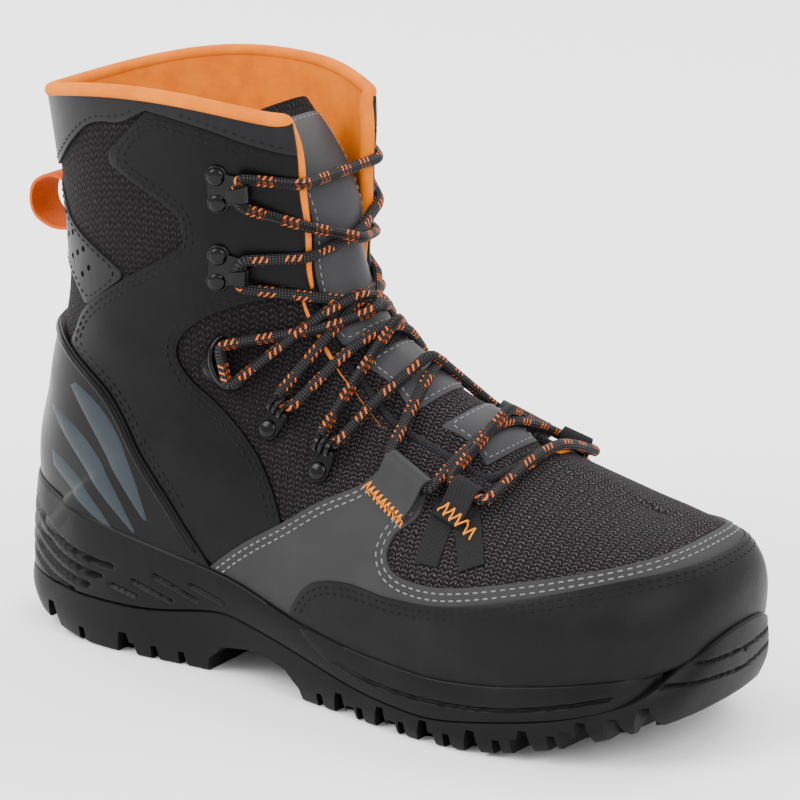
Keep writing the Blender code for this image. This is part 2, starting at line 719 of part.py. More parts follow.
def sole_side(i, height, column):
    """A point on the sole's outer side at a station, at a height."""
    row, side = STATIONS[i]
    edge, out = EDGE[i], OUT[i]
    if column == "midsole_flange":
        split = sole_value("split", row)
        lip = sole_value("lip", row)
        waist = 0.55 * split + 0.45 * lip
        flange = sole_value(column, row)
        lip_flange = reach_of_skin(i, lip) + LIP_WALL
        reach = np.interp(height, (split, waist, lip), (flange, 0.93 * flange, lip_flange))
    else:
        base = sole_value("base", row)
        middle = 0.45 * base + 0.55 * min(sole_value("split", row), sole_value("bumper", row))
        bumper = sole_value("bumper", row)
        flange = sole_value("flange_split", row)
        low_flange = sole_value("flange_base", row)
        top_flange = reach_of_skin(i, bumper) + 1.4 * LIP_WALL if row < 2 else 0.97 * flange
        reach = np.interp(height, (base, middle, bumper), (low_flange, flange, top_flange))
    point = edge + out * reach
    point[2] = height
    return point


def base_height(x):
    """Height of the tread's face over a place along the sole."""
    row_x = [(EDGE[i][0], sole_value("base", STATIONS[i][0])) for i in range(len(SOLE_ROWS))]
    row_x.sort()
    return float(np.interp(x, [p[0] for p in row_x], [p[1] for p in row_x]))


def half_breadth(x, side):
    """Half the sole's breadth at its base on one side."""
    found = [
        (EDGE[i][0], abs((EDGE[i] + OUT[i] * sole_value("flange_base", row))[1]))
        for i, (row, s) in enumerate(STATIONS)
        if s == side or row in (0.0, 12.0)
    ]
    found.sort()
    return float(np.interp(x, [p[0] for p in found], [p[1] for p in found]))


def trapezoid(x, z, mouth, root, depth, low, high, lean):
    """A cutter with sloping sides between two values of y, leaning along x on the way out."""
    points = []
    for y in (low, high):
        shift = lean * abs(y)
        points += [(x + shift - mouth / 2, y, z - 0.8 * depth), (x + shift + mouth / 2, y, z - 0.8 * depth)]
        points += [(x + shift + root / 2, y, z + depth), (x + shift - root / 2, y, z + depth)]
    faces = [(0, 1, 2, 3), (4, 5, 6, 7), (0, 1, 5, 4), (1, 2, 6, 5), (2, 3, 7, 6), (3, 0, 4, 7)]
    return mesh_from(points, faces)


def cut_tread(outsole):
    for x_share, width, reach, lean in TREAD:
        x = x_share * UPPER_LENGTH - HEEL_SETBACK
        z = base_height(x)
        for side in (-1, 1):
            breadth = half_breadth(x, side)
            inner = side * (breadth - reach * BALL_WIDTH * 0.8)
            outer = side * (breadth + RAY_START)
            low, high = sorted((inner, outer))
            mouth = width * TREAD_DEPTH * 1.5
            start = x - lean * abs(inner)
            cut(outsole, trapezoid(start, z, mouth, 0.6 * mouth, TREAD_DEPTH, low, high, lean))
    for first, last in CHANNELS:
        for side in (-1, 1):
            y = side * CHANNEL_SPREAD * BALL_WIDTH
            x0, x1 = (share * UPPER_LENGTH - HEEL_SETBACK for share in (first, last))
            low, high = -0.8 * TREAD_DEPTH, 0.8 * TREAD_DEPTH
            ends = [(x0, low), (x1, low), (x1 - high, high), (x0 + high, high)]
            cut(outsole, prism(ends, y - CHANNEL_WIDTH / 2, y + CHANNEL_WIDTH / 2))
    cut(outsole, prism(side_view_sole(ARCH), -SIDEWAYS, SIDEWAYS))


def side_view_sole(points):
    return [(x * UPPER_LENGTH - HEEL_SETBACK, z * HEEL_STACK) for x, z in points]


def panel(name, thickness, outline, low=-SIDEWAYS, high=SIDEWAYS, without=()):
    """A sheet over the skin, from the gap to a thickness, kept inside an outline seen from the side."""
    found = add_object(name, shell_of(open_skin(), PANEL_GAP, thickness))
    cut(found, prism(outline, low, high), "INTERSECT")
    for other in without:
        cut(found, other)
    return thinned(found, 1.0)


def frame_at(row, share, side, lift):
    """A matrix on the skin: x towards the throat, y up along the throat, z out of the leather."""
    here = along(wall_curve(row, side), [share])[0]
    nearer = along(wall_curve(row, side), [share - 0.02])[0]
    higher = along(wall_curve(row + 0.2, side), [share])[0]
    x_axis = Vector(nearer - here).normalized()
    y_axis = Vector(higher - here).normalized()
    z_axis = x_axis.cross(y_axis).normalized()
    if side < 0 and z_axis.y > 0 or side > 0 and z_axis.y < 0:
        z_axis = -z_axis
    y_axis = (y_axis - x_axis * y_axis.dot(x_axis)).normalized()
    place = Matrix.Identity(4)
    for k, axis in enumerate((x_axis, y_axis, z_axis)):
        place.col[k][:3] = axis
    place.translation = Vector(here) + z_axis * lift
    return place


def box_mesh(x0, x1, y0, y1, z0, z1):
    return prism([(x0, z0), (x1, z0), (x1, z1), (x0, z1)], y0, y1)


def disc(x, y, radius, z0, z1, sides=6):
    points = []
    for z in (z0, z1):
        for k in range(sides):
            turn = 2 * math.pi * (k + 0.5) / sides
            points.append((x + radius * math.cos(turn), y + radius * math.sin(turn), z))
    faces = [tuple(range(sides)), tuple(range(sides, 2 * sides))]
    faces += [(k, (k + 1) % sides, (k + 1) % sides + sides, k + sides) for k in range(sides)]
    return mesh_from(points, faces)


def joined(name, meshes, place):
    """One solid from overlapping meshes, set on the skin."""
    found = add_object(name, meshes[0])
    for mesh in meshes[1:]:
        cut(found, mesh, "UNION")
    found.data.transform(place)
    if place.determinant() < 0:
        found.data.flip_normals()
    return found


# The lace and what it runs through
LACE_RADIUS = 0.0021
LACE_FIT = 0.0005
# The lace's middle above the leather: over the tongue's ridge and next to an eyelet
LACE_LOW = 0.0024
LACE_HIGH = 0.0066
EYELET_COLUMNS = ("name", "row", "share", "kind")
EYELETS = (
    ("loop_low", 5.55, 0.335, "loop"),
    ("loop_high", 6.75, 0.335, "tunnel"),
    ("ring_low", 8.45, 0.375, "ring"),
    ("ring_high", 9.85, 0.320, "ring"),
    ("lock_hook", 12.1, 0.285, "lock"),
    ("hook_low", 14.0, 0.265, "hook"),
    ("hook_high", 15.55, 0.290, "hook"),
)
SIDES = (("lateral", -1), ("medial", 1))
LACE_CENTRE = {
    "loop": (0.0, 0.0036),
    "tunnel": (0.0, 0.0036),
    "ring": (0.004, 0.0042),
    "lock": (0.0, 0.0041),
    "hook": (0.003, 0.0041),
}
EYELET_WIDTH = {"loop": 0.013, "tunnel": 0.018, "ring": 0.0022, "lock": 0.011, "hook": 0.006}
LIFT = THICK + GAP


def ring_outline(x, z, outer, sides=8):
    turns = [2 * math.pi * k / sides for k in range(sides)]
    return [(x + outer * math.cos(turn), z + outer * math.sin(turn)) for turn in turns]


def eyelet(name, row, share, kind, side):
    place = frame_at(row, share, side, LIFT)
    x, z = LACE_CENTRE[kind]
    half = EYELET_WIDTH[kind] / 2
    clear = LACE_RADIUS + LACE_FIT
    wall = 0.0010
    if kind in ("loop", "tunnel"):
        meshes = [
            prism(ring_outline(x, z, clear + wall), -half, half),
            box_mesh(-0.016, x, -half, half, 0.0, 0.0011),
        ]
    elif kind == "ring":
        meshes = [
            prism(ring_outline(x, z, clear + wall), -half, half),
            box_mesh(-0.012, x, -0.0042, 0.0042, 0.0, 0.0013),
            disc(-0.0075, 0.0, 0.0036, 0.0, 0.0026),
        ]
    else:
        rivets = ((-0.0055, 0.005), (-0.0055, -0.005)) if kind == "hook" else ((-0.0065, 0.0),)
        meshes = [
            prism([
                (-0.002, 0.0), (x + clear + wall, 0.0), (x + clear + 1.6 * wall, 0.3 * z),
                (x + clear + 1.6 * wall, 1.5 * z), (x + 0.6 * clear, z + clear + wall),
                (x - clear, z + clear + 0.8 * wall), (x - clear, z + clear), (x + 0.5 * clear, z + clear),
                (x + clear, 1.4 * z), (x + clear, 0.35 * z), (x + 0.7 * clear, wall), (-0.002, wall),
            ], -half, half),
            box_mesh(-0.010, 0.001, -0.0085, 0.0085, 0.0, 0.0012),
        ]
        meshes += [disc(rx, ry, 0.0033, 0.0, 0.0026) for rx, ry in rivets]
    label = name + ("_lateral" if side < 0 else "_medial")
    found = joined(label, meshes, place)
    if kind in ("loop", "tunnel", "ring"):
        bore = prism(ring_outline(x, z, clear), -2 * half, 2 * half)
        bore.transform(place)
        if place.determinant() < 0:
            bore.flip_normals()
        cut(found, bore)
    return found


def lace_stops(index, side):
    """Where the lace enters and leaves an eyelet: front, then rear."""
    name, row, share, kind = EYELETS[index]
    place = frame_at(row, share, side, LIFT)
    x, z = LACE_CENTRE[kind]
    half = EYELET_WIDTH[kind] / 2
    front = place @ Vector((x, -half - 0.0030, z))
    rear = place @ Vector((x, half + 0.0030, z))
    return front, rear


def strand(first, second, first_side, second_side):
    """Points over the tongue from one eyelet up to the next one's far side, riding on the last."""
    row_a, share_a = EYELETS[first][1:3]
    row_b, share_b = EYELETS[second][1:3]
    points = []
    for t in (0.16, 0.34, 0.5, 0.66, 0.84):
        signed = first_side * share_a * (1 - t) + second_side * share_b * t
        row = (row_a + 0.35) * (1 - t) + (row_b - 0.35) * t
        side = -1 if signed < 0 else 1
        lift = LACE_LOW + (LACE_HIGH - LACE_LOW) * min(abs(signed) / 0.26, 1.0) ** 1.2
        if abs(signed) > 0.03:
            points.append(Vector(frame_at(row, abs(signed), side, lift).translation))
        else:
            points.append(ridge_point(row, lift))
    return points


def ridge_point(row, lift):
    """A point over the ridge of the last."""
    here = Vector(wall_curve(row, -1)[0] * 0.5 + wall_curve(row, 1)[0] * 0.5)
    after = Vector(wall_curve(row + 0.2, -1)[0] * 0.5 + wall_curve(row + 0.2, 1)[0] * 0.5)
    along_ridge = (after - here).normalized()
    out = Vector((0, 1, 0)).cross(along_ridge)
    if out.x < 0:
        out = -out
    return here + out.normalized() * lift


def tube(points, radius, sides=5):
    """A closed tube through points, its section carried along without a twist."""
    rings = []
    normal = None
    count = len(points)
    for i, point in enumerate(points):
        ahead = points[min(i + 1, count - 1)] - points[max(i - 1, 0)]
        ahead.normalize()
        if normal is None:
            normal = ahead.orthogonal().normalized()
        normal = (normal - ahead * normal.dot(ahead)).normalized()
        across = ahead.cross(normal)
        turns = [2 * math.pi * k / sides for k in range(sides)]
        rings.append([point + (normal * math.cos(t) + across * math.sin(t)) * radius for t in turns])
    flat = [p for ring in rings for p in ring]
    faces = []
    for i in range(count - 1):
        for k in range(sides):
            n = (k + 1) % sides
            faces.append((i * sides + k, i * sides + n, (i + 1) * sides + n, (i + 1) * sides + k))
    faces.append(tuple(range(sides)))
    faces.append(tuple(range((count - 1) * sides, count * sides)))
    return mesh_from(flat, faces)


def lace_half(start_side):
    """From the first cross bar up to the top, changing sides at each eyelet."""
    points = []
    side = start_side
    for index in range(len(EYELETS)):
        front, rear = lace_stops(index, side)
        points += [front, rear]
        if index + 1 < len(EYELETS):
            points += strand(index, index + 1, side, -side)
            side = -side
    return points


def build_lace():
    bar_front, _ = lace_stops(0, 1)
    first = [bar_front]
    name, row, share, kind = EYELETS[0]
    for t in (0.12, 0.3, 0.5, 0.7, 0.88):
        signed = share * (1 - 2 * t)
        lift = 0.0048 + 0.0016 * abs(signed) / share
        side = 1 if signed > 0 else -1
        if abs(signed) < 0.03:
            first.append(ridge_point(row - 0.42, lift))
        else:
            first.append(Vector(frame_at(row - 0.42, abs(signed), side, lift).translation))
    lateral = first + lace_half(-1)
    medial = lace_half(1)
    lace = add_object("lace", tube(lateral, LACE_RADIUS))
    cut(lace, tube(medial, LACE_RADIUS * 0.985), "UNION", crosses_itself=True)
    return lace


# The tongue
TONGUE_COLUMNS = ("row", "half_width", "sunk", "lean")
TONGUE = (
    # row of the last, half width as a share of the shaft's, depth under the skin in walls, and how far it
    # leans back as a share of the shaft's width
    (4.6, 0.28, 1.35, 0.0),
    (5.0, 0.33, 1.60, 0.0),
    (5.5, 0.38, 1.45, 0.0),
    (6.0, 0.40, 0.95, 0.0),
    (7.0, 0.40, 0.70, 0.0),
    (8.0, 0.38, 0.60, 0.0),
    (9.0, 0.36, 0.60, 0.0),
    (10.0, 0.34, 0.60, 0.0),
    (11.0, 0.32, 0.60, 0.01),
    (12.0, 0.32, 0.60, 0.02),
    (13.0, 0.33, 0.60, 0.035),
    (14.0, 0.36, 0.60, 0.04),
    (15.0, 0.37, 0.60, 0.09),
    (16.0, 0.37, 0.60, 0.18),
    (17.0, 0.36, 0.60, 0.30),
    (17.5, 0.35, 0.60, 0.34),
)
TONGUE_THICK = 0.0050
ACROSS = (1.0, 0.82, 0.6, 0.35, 0.0)


def build_tongue():
    shares = [(-1, a) for a in ACROSS] + [(1, a) for a in ACROSS[-2::-1]]
    points, depth = [], []
    for row, half, sunk, lean in TONGUE:
        for side, a in shares:
            reach = min(row, LAST_ROW)
            curve = wall_curve(reach, side)
            edge = share_where(curve, np.abs(curve[:, 1]), half * SHAFT_WIDTH)
            point = along(curve, [edge * a])[0]
            if row > LAST_ROW:
                before = along(wall_curve(LAST_ROW - 0.5, side), [edge * a])[0]
                point = point + (point - before) * (row - LAST_ROW) * 2
            point[0] -= lean * SHAFT_WIDTH
            points.append(point)
            deep = 1.55 if a > 0.7 else (sunk + (1.55 - sunk) * 0.45 if a > 0.5 else sunk)
            depth.append(max(deep, sunk) * WALL)
    count = len(shares)
    faces = []
    for i in range(len(TONGUE) - 1):
        for k in range(count - 1):
            faces.append((i * count + k, (i + 1) * count + k, (i + 1) * count + k + 1, i * count + k + 1))
    work = bmesh.new()
    verts = [work.verts.new(tuple(p)) for p in points]
    for face in faces:
        work.faces.new([verts[k] for k in face])
    work.faces.ensure_lookup_table()
    work.normal_update()
    if work.faces[count * 2].normal.x + work.faces[count * 2].normal.z < 0:
        for face in work.faces:
            face.normal_flip()
        work.normal_update()
    normals = [v.normal.copy() for v in verts]
    front = [v.co - n * d for v, n, d in zip(verts, normals, depth)]
    back = [v.co - n * (d + TONGUE_THICK) for v, n, d in zip(verts, normals, depth)]
    work.free()
    size = len(points)
    rim = [k for k in range(count)]
    rim += [i * count + count - 1 for i in range(1, len(TONGUE))]
    rim += [(len(TONGUE) - 1) * count + k for k in range(count - 2, -1, -1)]
    rim += [i * count for i in range(len(TONGUE) - 2, 0, -1)]
    closed = [tuple(face) for face in faces] + [tuple(k + size for k in face) for face in faces]
    for n, k in enumerate(rim):
        m = rim[(n + 1) % len(rim)]
        closed.append((k, m, m + size, k + size))
    return add_object("tongue", mesh_from(front + back, closed))


# The webbing pull at the back
LOOP_WIDTH = 0.017
LOOP_THICK = 0.0014
LOOP_PATH = (
    # how far behind the back seam as a share of the shaft's width, then the height as a share of the upper's
    (0.0125, 0.8014),
    (0.098, 0.8209),
    (0.168, 0.8111),
    (0.228, 0.7818),
    (0.243, 0.7330),
    (0.218, 0.6939),
    (0.148, 0.6694),
    (0.088, 0.6645),
    (0.0125, 0.6743),
)


def back_seam(height):
    """How far back the seam stands at a height above the floor."""
    rows = np.arange(SEAM_ROW, LAST_ROW + 0.01, 0.1)
    ends = [along(wall_curve(row, -1), [1])[0] for row in rows]
    return float(np.interp(height, [end[2] for end in ends], [end[0] for end in ends]))


def build_pull_loop():
    path = []
    for behind, height in LOOP_PATH:
        z = HEEL_STACK + height * UPPER_HEIGHT
        path.append((back_seam(z) - behind * SHAFT_WIDTH, z))
    path = np.array(path)
    ahead = np.gradient(path, axis=0)
    out = np.stack([-ahead[:, 1], ahead[:, 0]], 1)
    out /= np.linalg.norm(out, axis=1)[:, None]
    outer = [tuple(p) for p in path + out * LOOP_THICK / 2]
    inner = [tuple(p) for p in path - out * LOOP_THICK / 2]
    return add_object("pull_loop", prism(outer + inner[::-1], -LOOP_WIDTH / 2, LOOP_WIDTH / 2))


# The footbed
INSOLE_THICK = 0.0035
INSOLE_FIT = 0.0010
INSOLE_SLOPE = 0.0022


def build_insole():
    inward = -(WALL + INSOLE_FIT)
    low = level(lambda r: 0.0, lambda r: inward)
    high = low.copy()
    for i in range(len(STATIONS)):
        low[i][2] = EDGE[i][2]
        high[i][2] = EDGE[i][2] + INSOLE_THICK
        high[i][:2] -= OUT[i][:2] * INSOLE_SLOPE
    return add_object("insole", loft([low, high]))


COLOURS = (
    # what the solid's name starts with, its colour and roughness
    ("upper", (0.035, 0.030, 0.032), 0.9),
    ("insole", (0.05, 0.05, 0.05), 0.9),
    ("tongue", (0.13, 0.125, 0.135), 0.8),
    ("midsole", (0.028, 0.028, 0.029), 0.6),
    ("outsole", (0.022, 0.022, 0.023), 0.65),
    ("rand", (0.026, 0.026, 0.027), 0.55),
    ("counter", (0.030, 0.031, 0.033), 0.5),
    ("vamp_overlay", (0.11, 0.11, 0.115), 0.75),
    ("quarter", (0.018, 0.018, 0.019), 0.5),
    ("cuff", (0.035, 0.035, 0.038), 0.7),
    ("pull_loop", (0.80, 0.22, 0.05), 0.8),
    ("lace", (0.03, 0.028, 0.028), 0.85),
)


def paint():
    """A plain material for each solid."""
    for found in collection_named("wading boot").objects:
        colour, rough = (0.02, 0.02, 0.02), 0.35
        for start, *look in COLOURS:
            if found.name.startswith(start):
                colour, rough = look
        material = bpy.data.materials.new(found.name)
        material.use_nodes = True
        shader = material.node_tree.nodes["Principled BSDF"]
        shader.inputs["Base Color"].default_value = (*colour, 1.0)
        shader.inputs["Roughness"].default_value = rough
        found.data.materials.clear()
        found.data.materials.append(material)


def build():
    for found in list(bpy.data.objects):
        bpy.data.objects.remove(found)
    form = closed_form(GAP)
    add_object("upper", shell_of(open_skin(), -WALL, 0.0))
    midsole = add_object("midsole", midsole_block())
    cut(midsole, form)
    outsole = add_object("outsole", outsole_block())
    cut(outsole, midsole_block(GAP))
    cut(outsole, form)
    for groove in GROOVES:
        cut(midsole if groove[4] == "midsole_flange" else outsole, groove_cutter(*groove))
    cut_tread(outsole)
    thinned(midsole, 0.0)
    thinned(outsole, 0.0)
    clear_of_sole = (midsole_block(GAP), outsole_block(GAP))
    panel("rand", RUBBER, side_view(RAND_CLOSED), without=clear_of_sole)
    panel("counter", RUBBER, side_view(COUNTER_CLOSED), without=clear_of_sole)
    window = prism(side_view(TOE_WINDOW), -SIDEWAYS, SIDEWAYS)
    band = side_view(OVERLAY_TOP, GAP, -GAP) + side_view(OVERLAY_CORNERS)
    band += side_view((RAND_CORNER,) + RAND_LINE[::-1], 0.0, GAP)
    panel("vamp_overlay", THICK, band, without=clear_of_sole + (window,))
    quarter = side_view(COUNTER_LINE[1:-1], 2 * GAP) + side_view(QUARTER_FRONT, -GAP, GAP)[:-1]
    quarter += side_view(ANKLE_FRONT)
    panel("quarter_lateral", THICK, quarter, high=0.0, without=clear_of_sole)
    panel("quarter_medial", THICK, quarter, low=0.0, without=clear_of_sole)
    panel("cuff", PADDING, side_view(CUFF_CLOSED, 0.0, GAP))
    build_insole()
    build_tongue()
    build_pull_loop()
    for name, row, share, kind in EYELETS:
        for label, side in SIDES:
            eyelet(name, row, share, kind, side)
    build_lace()
    paint()


build()
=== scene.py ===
"""A lace-up wading boot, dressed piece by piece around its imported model."""

import json
import math

import bmesh
import bpy
import numpy as np
from mathutils import Matrix, Vector
from mathutils.bvhtree import BVHTree
from mathutils.kdtree import KDTree

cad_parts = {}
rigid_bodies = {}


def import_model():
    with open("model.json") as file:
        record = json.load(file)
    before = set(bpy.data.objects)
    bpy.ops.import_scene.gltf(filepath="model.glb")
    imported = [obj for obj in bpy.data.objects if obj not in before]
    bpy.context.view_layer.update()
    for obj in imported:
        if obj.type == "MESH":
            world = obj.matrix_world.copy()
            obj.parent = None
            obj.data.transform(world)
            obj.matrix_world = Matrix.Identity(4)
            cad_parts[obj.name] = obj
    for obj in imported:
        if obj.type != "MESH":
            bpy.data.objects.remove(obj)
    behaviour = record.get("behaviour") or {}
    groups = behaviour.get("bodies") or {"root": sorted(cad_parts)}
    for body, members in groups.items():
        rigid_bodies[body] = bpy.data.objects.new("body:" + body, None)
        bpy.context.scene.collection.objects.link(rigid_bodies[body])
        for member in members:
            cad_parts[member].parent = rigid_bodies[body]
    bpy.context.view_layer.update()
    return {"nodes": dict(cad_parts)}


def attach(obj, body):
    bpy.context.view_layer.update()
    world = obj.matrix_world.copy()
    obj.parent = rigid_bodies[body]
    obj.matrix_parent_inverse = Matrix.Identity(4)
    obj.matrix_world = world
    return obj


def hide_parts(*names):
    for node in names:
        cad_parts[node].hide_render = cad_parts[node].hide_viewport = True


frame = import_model()
MM = 0.001


# The studio
# A plain pale floor under soft light, and the camera where it sees the boot's outer side and toe.
VIEW_AZIMUTH = math.radians(32.9)
VIEW_HEIGHT = math.radians(16.43)
VIEW_ROLL = math.radians(-0.19)
VIEW_DISTANCE = 1.592
VIEW_TARGET = Vector((0.1146, 0.0, 0.1051))
SENSOR = 36.0
LENS = 193.6

toward = Vector((
    math.sin(VIEW_AZIMUTH) * math.cos(VIEW_HEIGHT),
    -math.cos(VIEW_AZIMUTH) * math.cos(VIEW_HEIGHT),
    math.sin(VIEW_HEIGHT),
))
bpy.ops.object.camera_add(location=VIEW_TARGET + toward * VIEW_DISTANCE)
camera = bpy.context.object
turn = toward.to_track_quat("Z", "Y").to_matrix() @ Matrix.Rotation(VIEW_ROLL, 3, "Z")
camera.rotation_euler = turn.to_euler()
camera.data.sensor_width = SENSOR
camera.data.lens = LENS
camera.data.clip_start = 0.05
bpy.context.scene.camera = camera

bpy.ops.mesh.primitive_plane_add(size=8.0, location=(0.1, 0.0, 0.0))
floor = bpy.context.object
floor.name = "floor"
paper = bpy.data.materials.new("white paper")
paper.use_nodes = True
paper.node_tree.nodes["Principled BSDF"].inputs["Base Color"].default_value = (0.93, 0.93, 0.93, 1)
paper.node_tree.nodes["Principled BSDF"].inputs["Roughness"].default_value = 0.9
floor.data.materials.append(paper)

LIGHTS = (
    # place, size, power
    ((-0.9, -1.5, 1.7), 1.4, 64.0),
    ((1.7, -0.8, 1.3), 1.2, 32.0),
    ((0.2, 1.6, 1.9), 1.6, 48.0),
    ((-1.8, 0.4, 0.9), 1.0, 26.0),
)
for place, size, power in LIGHTS:
    bpy.ops.object.light_add(type="AREA", location=place)
    lamp = bpy.context.object
    lamp.data.size = size
    lamp.data.energy = power
    lamp.rotation_euler = (Vector(place) - VIEW_TARGET).to_track_quat("Z", "Y").to_euler()
world = bpy.data.worlds.new("studio white")
world.use_nodes = True
world.node_tree.nodes["Background"].inputs["Color"].default_value = (1.0, 1.0, 1.0, 1)
world.node_tree.nodes["Background"].inputs["Strength"].default_value = 1.7
bpy.context.scene.world = world


# The lasted upper
# Knitted polyester over foam with a brushed orange lining, pulled over a last and glued to the sole.
# Its form is the CAD upper's, smoothed through the CAD's own corners, and every panel is cut from that form.
LEVELS = 3
UPPER_WALL = 2.8 * MM


def only(obj):
    """Selects one object alone, in object mode."""
    bpy.ops.object.select_all(action="DESELECT")
    obj.select_set(True)
    bpy.context.view_layer.objects.active = obj


def object_from(name, points, faces):
    mesh = bpy.data.meshes.new(name)
    mesh.from_pydata([tuple(map(float, p)) for p in points], [], [tuple(map(int, f)) for f in faces])
    mesh.update()
    made = bpy.data.objects.new(name, mesh)
    bpy.context.scene.collection.objects.link(made)
    return made


def outer_skin(node, way):
    """The outside of a CAD shell alone, as quads: what is reached from its foremost face past no sharp edge."""
    source = frame["nodes"][node]
    skin = bpy.data.objects.new("lasted form", source.data.copy())
    bpy.context.scene.collection.objects.link(skin)
    skin.data.materials.clear()
    only(skin)
    bpy.ops.object.mode_set(mode="EDIT")
    bpy.ops.mesh.select_all(action="SELECT")
    bpy.ops.mesh.remove_doubles(threshold=1e-5)
    bpy.ops.mesh.customdata_custom_splitnormals_clear()
    bpy.ops.object.mode_set(mode="OBJECT")
    work = bmesh.new()
    work.from_mesh(skin.data)
    facing = [face for face in work.faces if face.normal.dot(way) > 0.8]
    start = max(facing, key=lambda face: face.calc_center_median().dot(way))
    reached = {start}
    queue = [start]
    while queue:
        face = queue.pop()
        for edge in face.edges:
            for other in edge.link_faces:
                if other not in reached and face.normal.angle(other.normal, 0.0) < math.radians(58):
                    reached.add(other)
                    queue.append(other)
    bmesh.ops.delete(work, geom=[f for f in work.faces if f not in reached], context="FACES")
    work.to_mesh(skin.data)
    work.free()
    only(skin)
    bpy.ops.object.mode_set(mode="EDIT")
    bpy.ops.mesh.select_all(action="SELECT")
    bpy.ops.mesh.tris_convert_to_quads(face_threshold=math.radians(70), shape_threshold=math.radians(70))
    bpy.ops.object.mode_set(mode="OBJECT")
    return skin


def points_of(mesh):
    found = np.empty(len(mesh.vertices) * 3)
    mesh.vertices.foreach_get("co", found)
    return found.reshape(-1, 3)


def smoothed_through(skin, levels):
    """Subdivides a cage so that the smooth surface passes through the cage's own corners."""
    wanted = points_of(skin.data)
    cage = wanted.copy()
    smooth = skin.modifiers.new("smooth", "SUBSURF")
    smooth.levels = levels
    smooth.render_levels = levels
    for _ in range(6):
        skin.data.vertices.foreach_set("co", cage.ravel())
        skin.data.update()
        graph = bpy.context.evaluated_depsgraph_get()
        reached = points_of(skin.evaluated_get(graph).data)[:len(wanted)]
        cage += 0.8 * (wanted - reached)
    skin.data.vertices.foreach_set("co", cage.ravel())
    only(skin)
    bpy.ops.object.modifier_apply(modifier="smooth")
    return skin


lasted = smoothed_through(outer_skin("upper", Vector((1, 0, 0))), LEVELS)
SKIN = points_of(lasted.data)
SKIN_FACES = [tuple(p.vertices) for p in lasted.data.polygons]
SKIN_EDGES = np.array([e.vertices[:] for e in lasted.data.edges])
SKIN_NORMALS = np.array([v.normal[:] for v in lasted.data.vertices])
bpy.data.objects.remove(lasted)


def finish_piece(piece, slot, material, *nodes, smooth_angle=40):
    """Gives a finished piece its smooth shading, its material and its body, and hides the CAD nodes that it
    stands for.
    """
    only(piece)
    bpy.ops.object.shade_smooth_by_angle(angle=math.radians(smooth_angle))
    if material is not None:
        piece.data.materials.clear()
        piece.data.materials.append(material)
    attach(piece, "root")
    if nodes:
        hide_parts(*nodes)
    return piece


def surface(name, color, roughness, specular=0.22):
    """A new material, and the coordinates that its grain is laid out in: the piece's own metres."""
    made = bpy.data.materials.new(name)
    made.use_nodes = True
    shader = made.node_tree.nodes["Principled BSDF"]
    shader.inputs["Base Color"].default_value = (*color, 1)
    shader.inputs["Roughness"].default_value = roughness
    shader.inputs["Specular IOR Level"].default_value = specular
    return made, add(made, "ShaderNodeTexCoord", {}).outputs["Object"]


def add(material, kind, inputs, **settings):
    """Adds a shader node. A socket among its inputs is linked, anything else is set."""
    tree = material.node_tree
    made = tree.nodes.new(kind)
    for name, value in settings.items():
        setattr(made, name, value)
    for name, value in inputs.items():
        if isinstance(value, bpy.types.NodeSocket):
            tree.links.new(value, made.inputs[name])
        else:
            made.inputs[name].default_value = value
    return made


def noise(material, at, scale, detail=3.0, rough=0.55):
    inputs = {"Vector": at, "Scale": scale, "Detail": detail, "Roughness": rough}
    return add(material, "ShaderNodeTexNoise", inputs).outputs["Fac"]


def cells(material, at, scale, randomness=0.5):
    """Distance to the nearest of many scattered points."""
    found = add(material, "ShaderNodeTexVoronoi", {"Vector": at, "Scale": scale, "Randomness": randomness})
    return found.outputs["Distance"]


def ranged(material, value, low, high, first, last, curve="LINEAR"):
    """A value that lies between two limits, brought to lie between two others."""
    inputs = {"Value": value, "From Min": low, "From Max": high, "To Min": first, "To Max": last}
    return add(material, "ShaderNodeMapRange", inputs, interpolation_type=curve).outputs["Result"]


def eased(material, value, low, high, first=0.0, last=1.0):
    """The same with an S curve between the limits."""
    return ranged(material, value, low, high, first, last, "SMOOTHSTEP")


def counted(material, operation, *values):
    return add(material, "ShaderNodeMath", dict(enumerate(values)), operation=operation).outputs[0]


def tinted(material, share, color):
    """Lays another colour over the material where a share says."""
    shader = material.node_tree.nodes["Principled BSDF"]
    base = shader.inputs["Base Color"]
    under = base.links[0].from_socket if base.links else tuple(base.default_value)
    mixed = add(material, "ShaderNodeMix", {0: share, 6: under, 7: (*color, 1)}, data_type="RGBA")
    material.node_tree.links.new(mixed.outputs[2], base)


def bumped(material, height, distance, strength=1.0):
    """Adds relief to the material: a height of 1 stands a distance above 0."""
    shader = material.node_tree.nodes["Principled BSDF"]
    inputs = {"Height": height, "Distance": distance, "Strength": strength}
    if shader.inputs["Normal"].links:
        inputs["Normal"] = shader.inputs["Normal"].links[0].from_socket
    relief = add(material, "ShaderNodeBump", inputs)
    material.node_tree.links.new(relief.outputs["Normal"], shader.inputs["Normal"])


def roughened(material, value, low, high):
    rough = material.node_tree.nodes["Principled BSDF"].inputs["Roughness"]
    material.node_tree.links.new(ranged(material, value, 0.3, 0.7, low, high), rough)


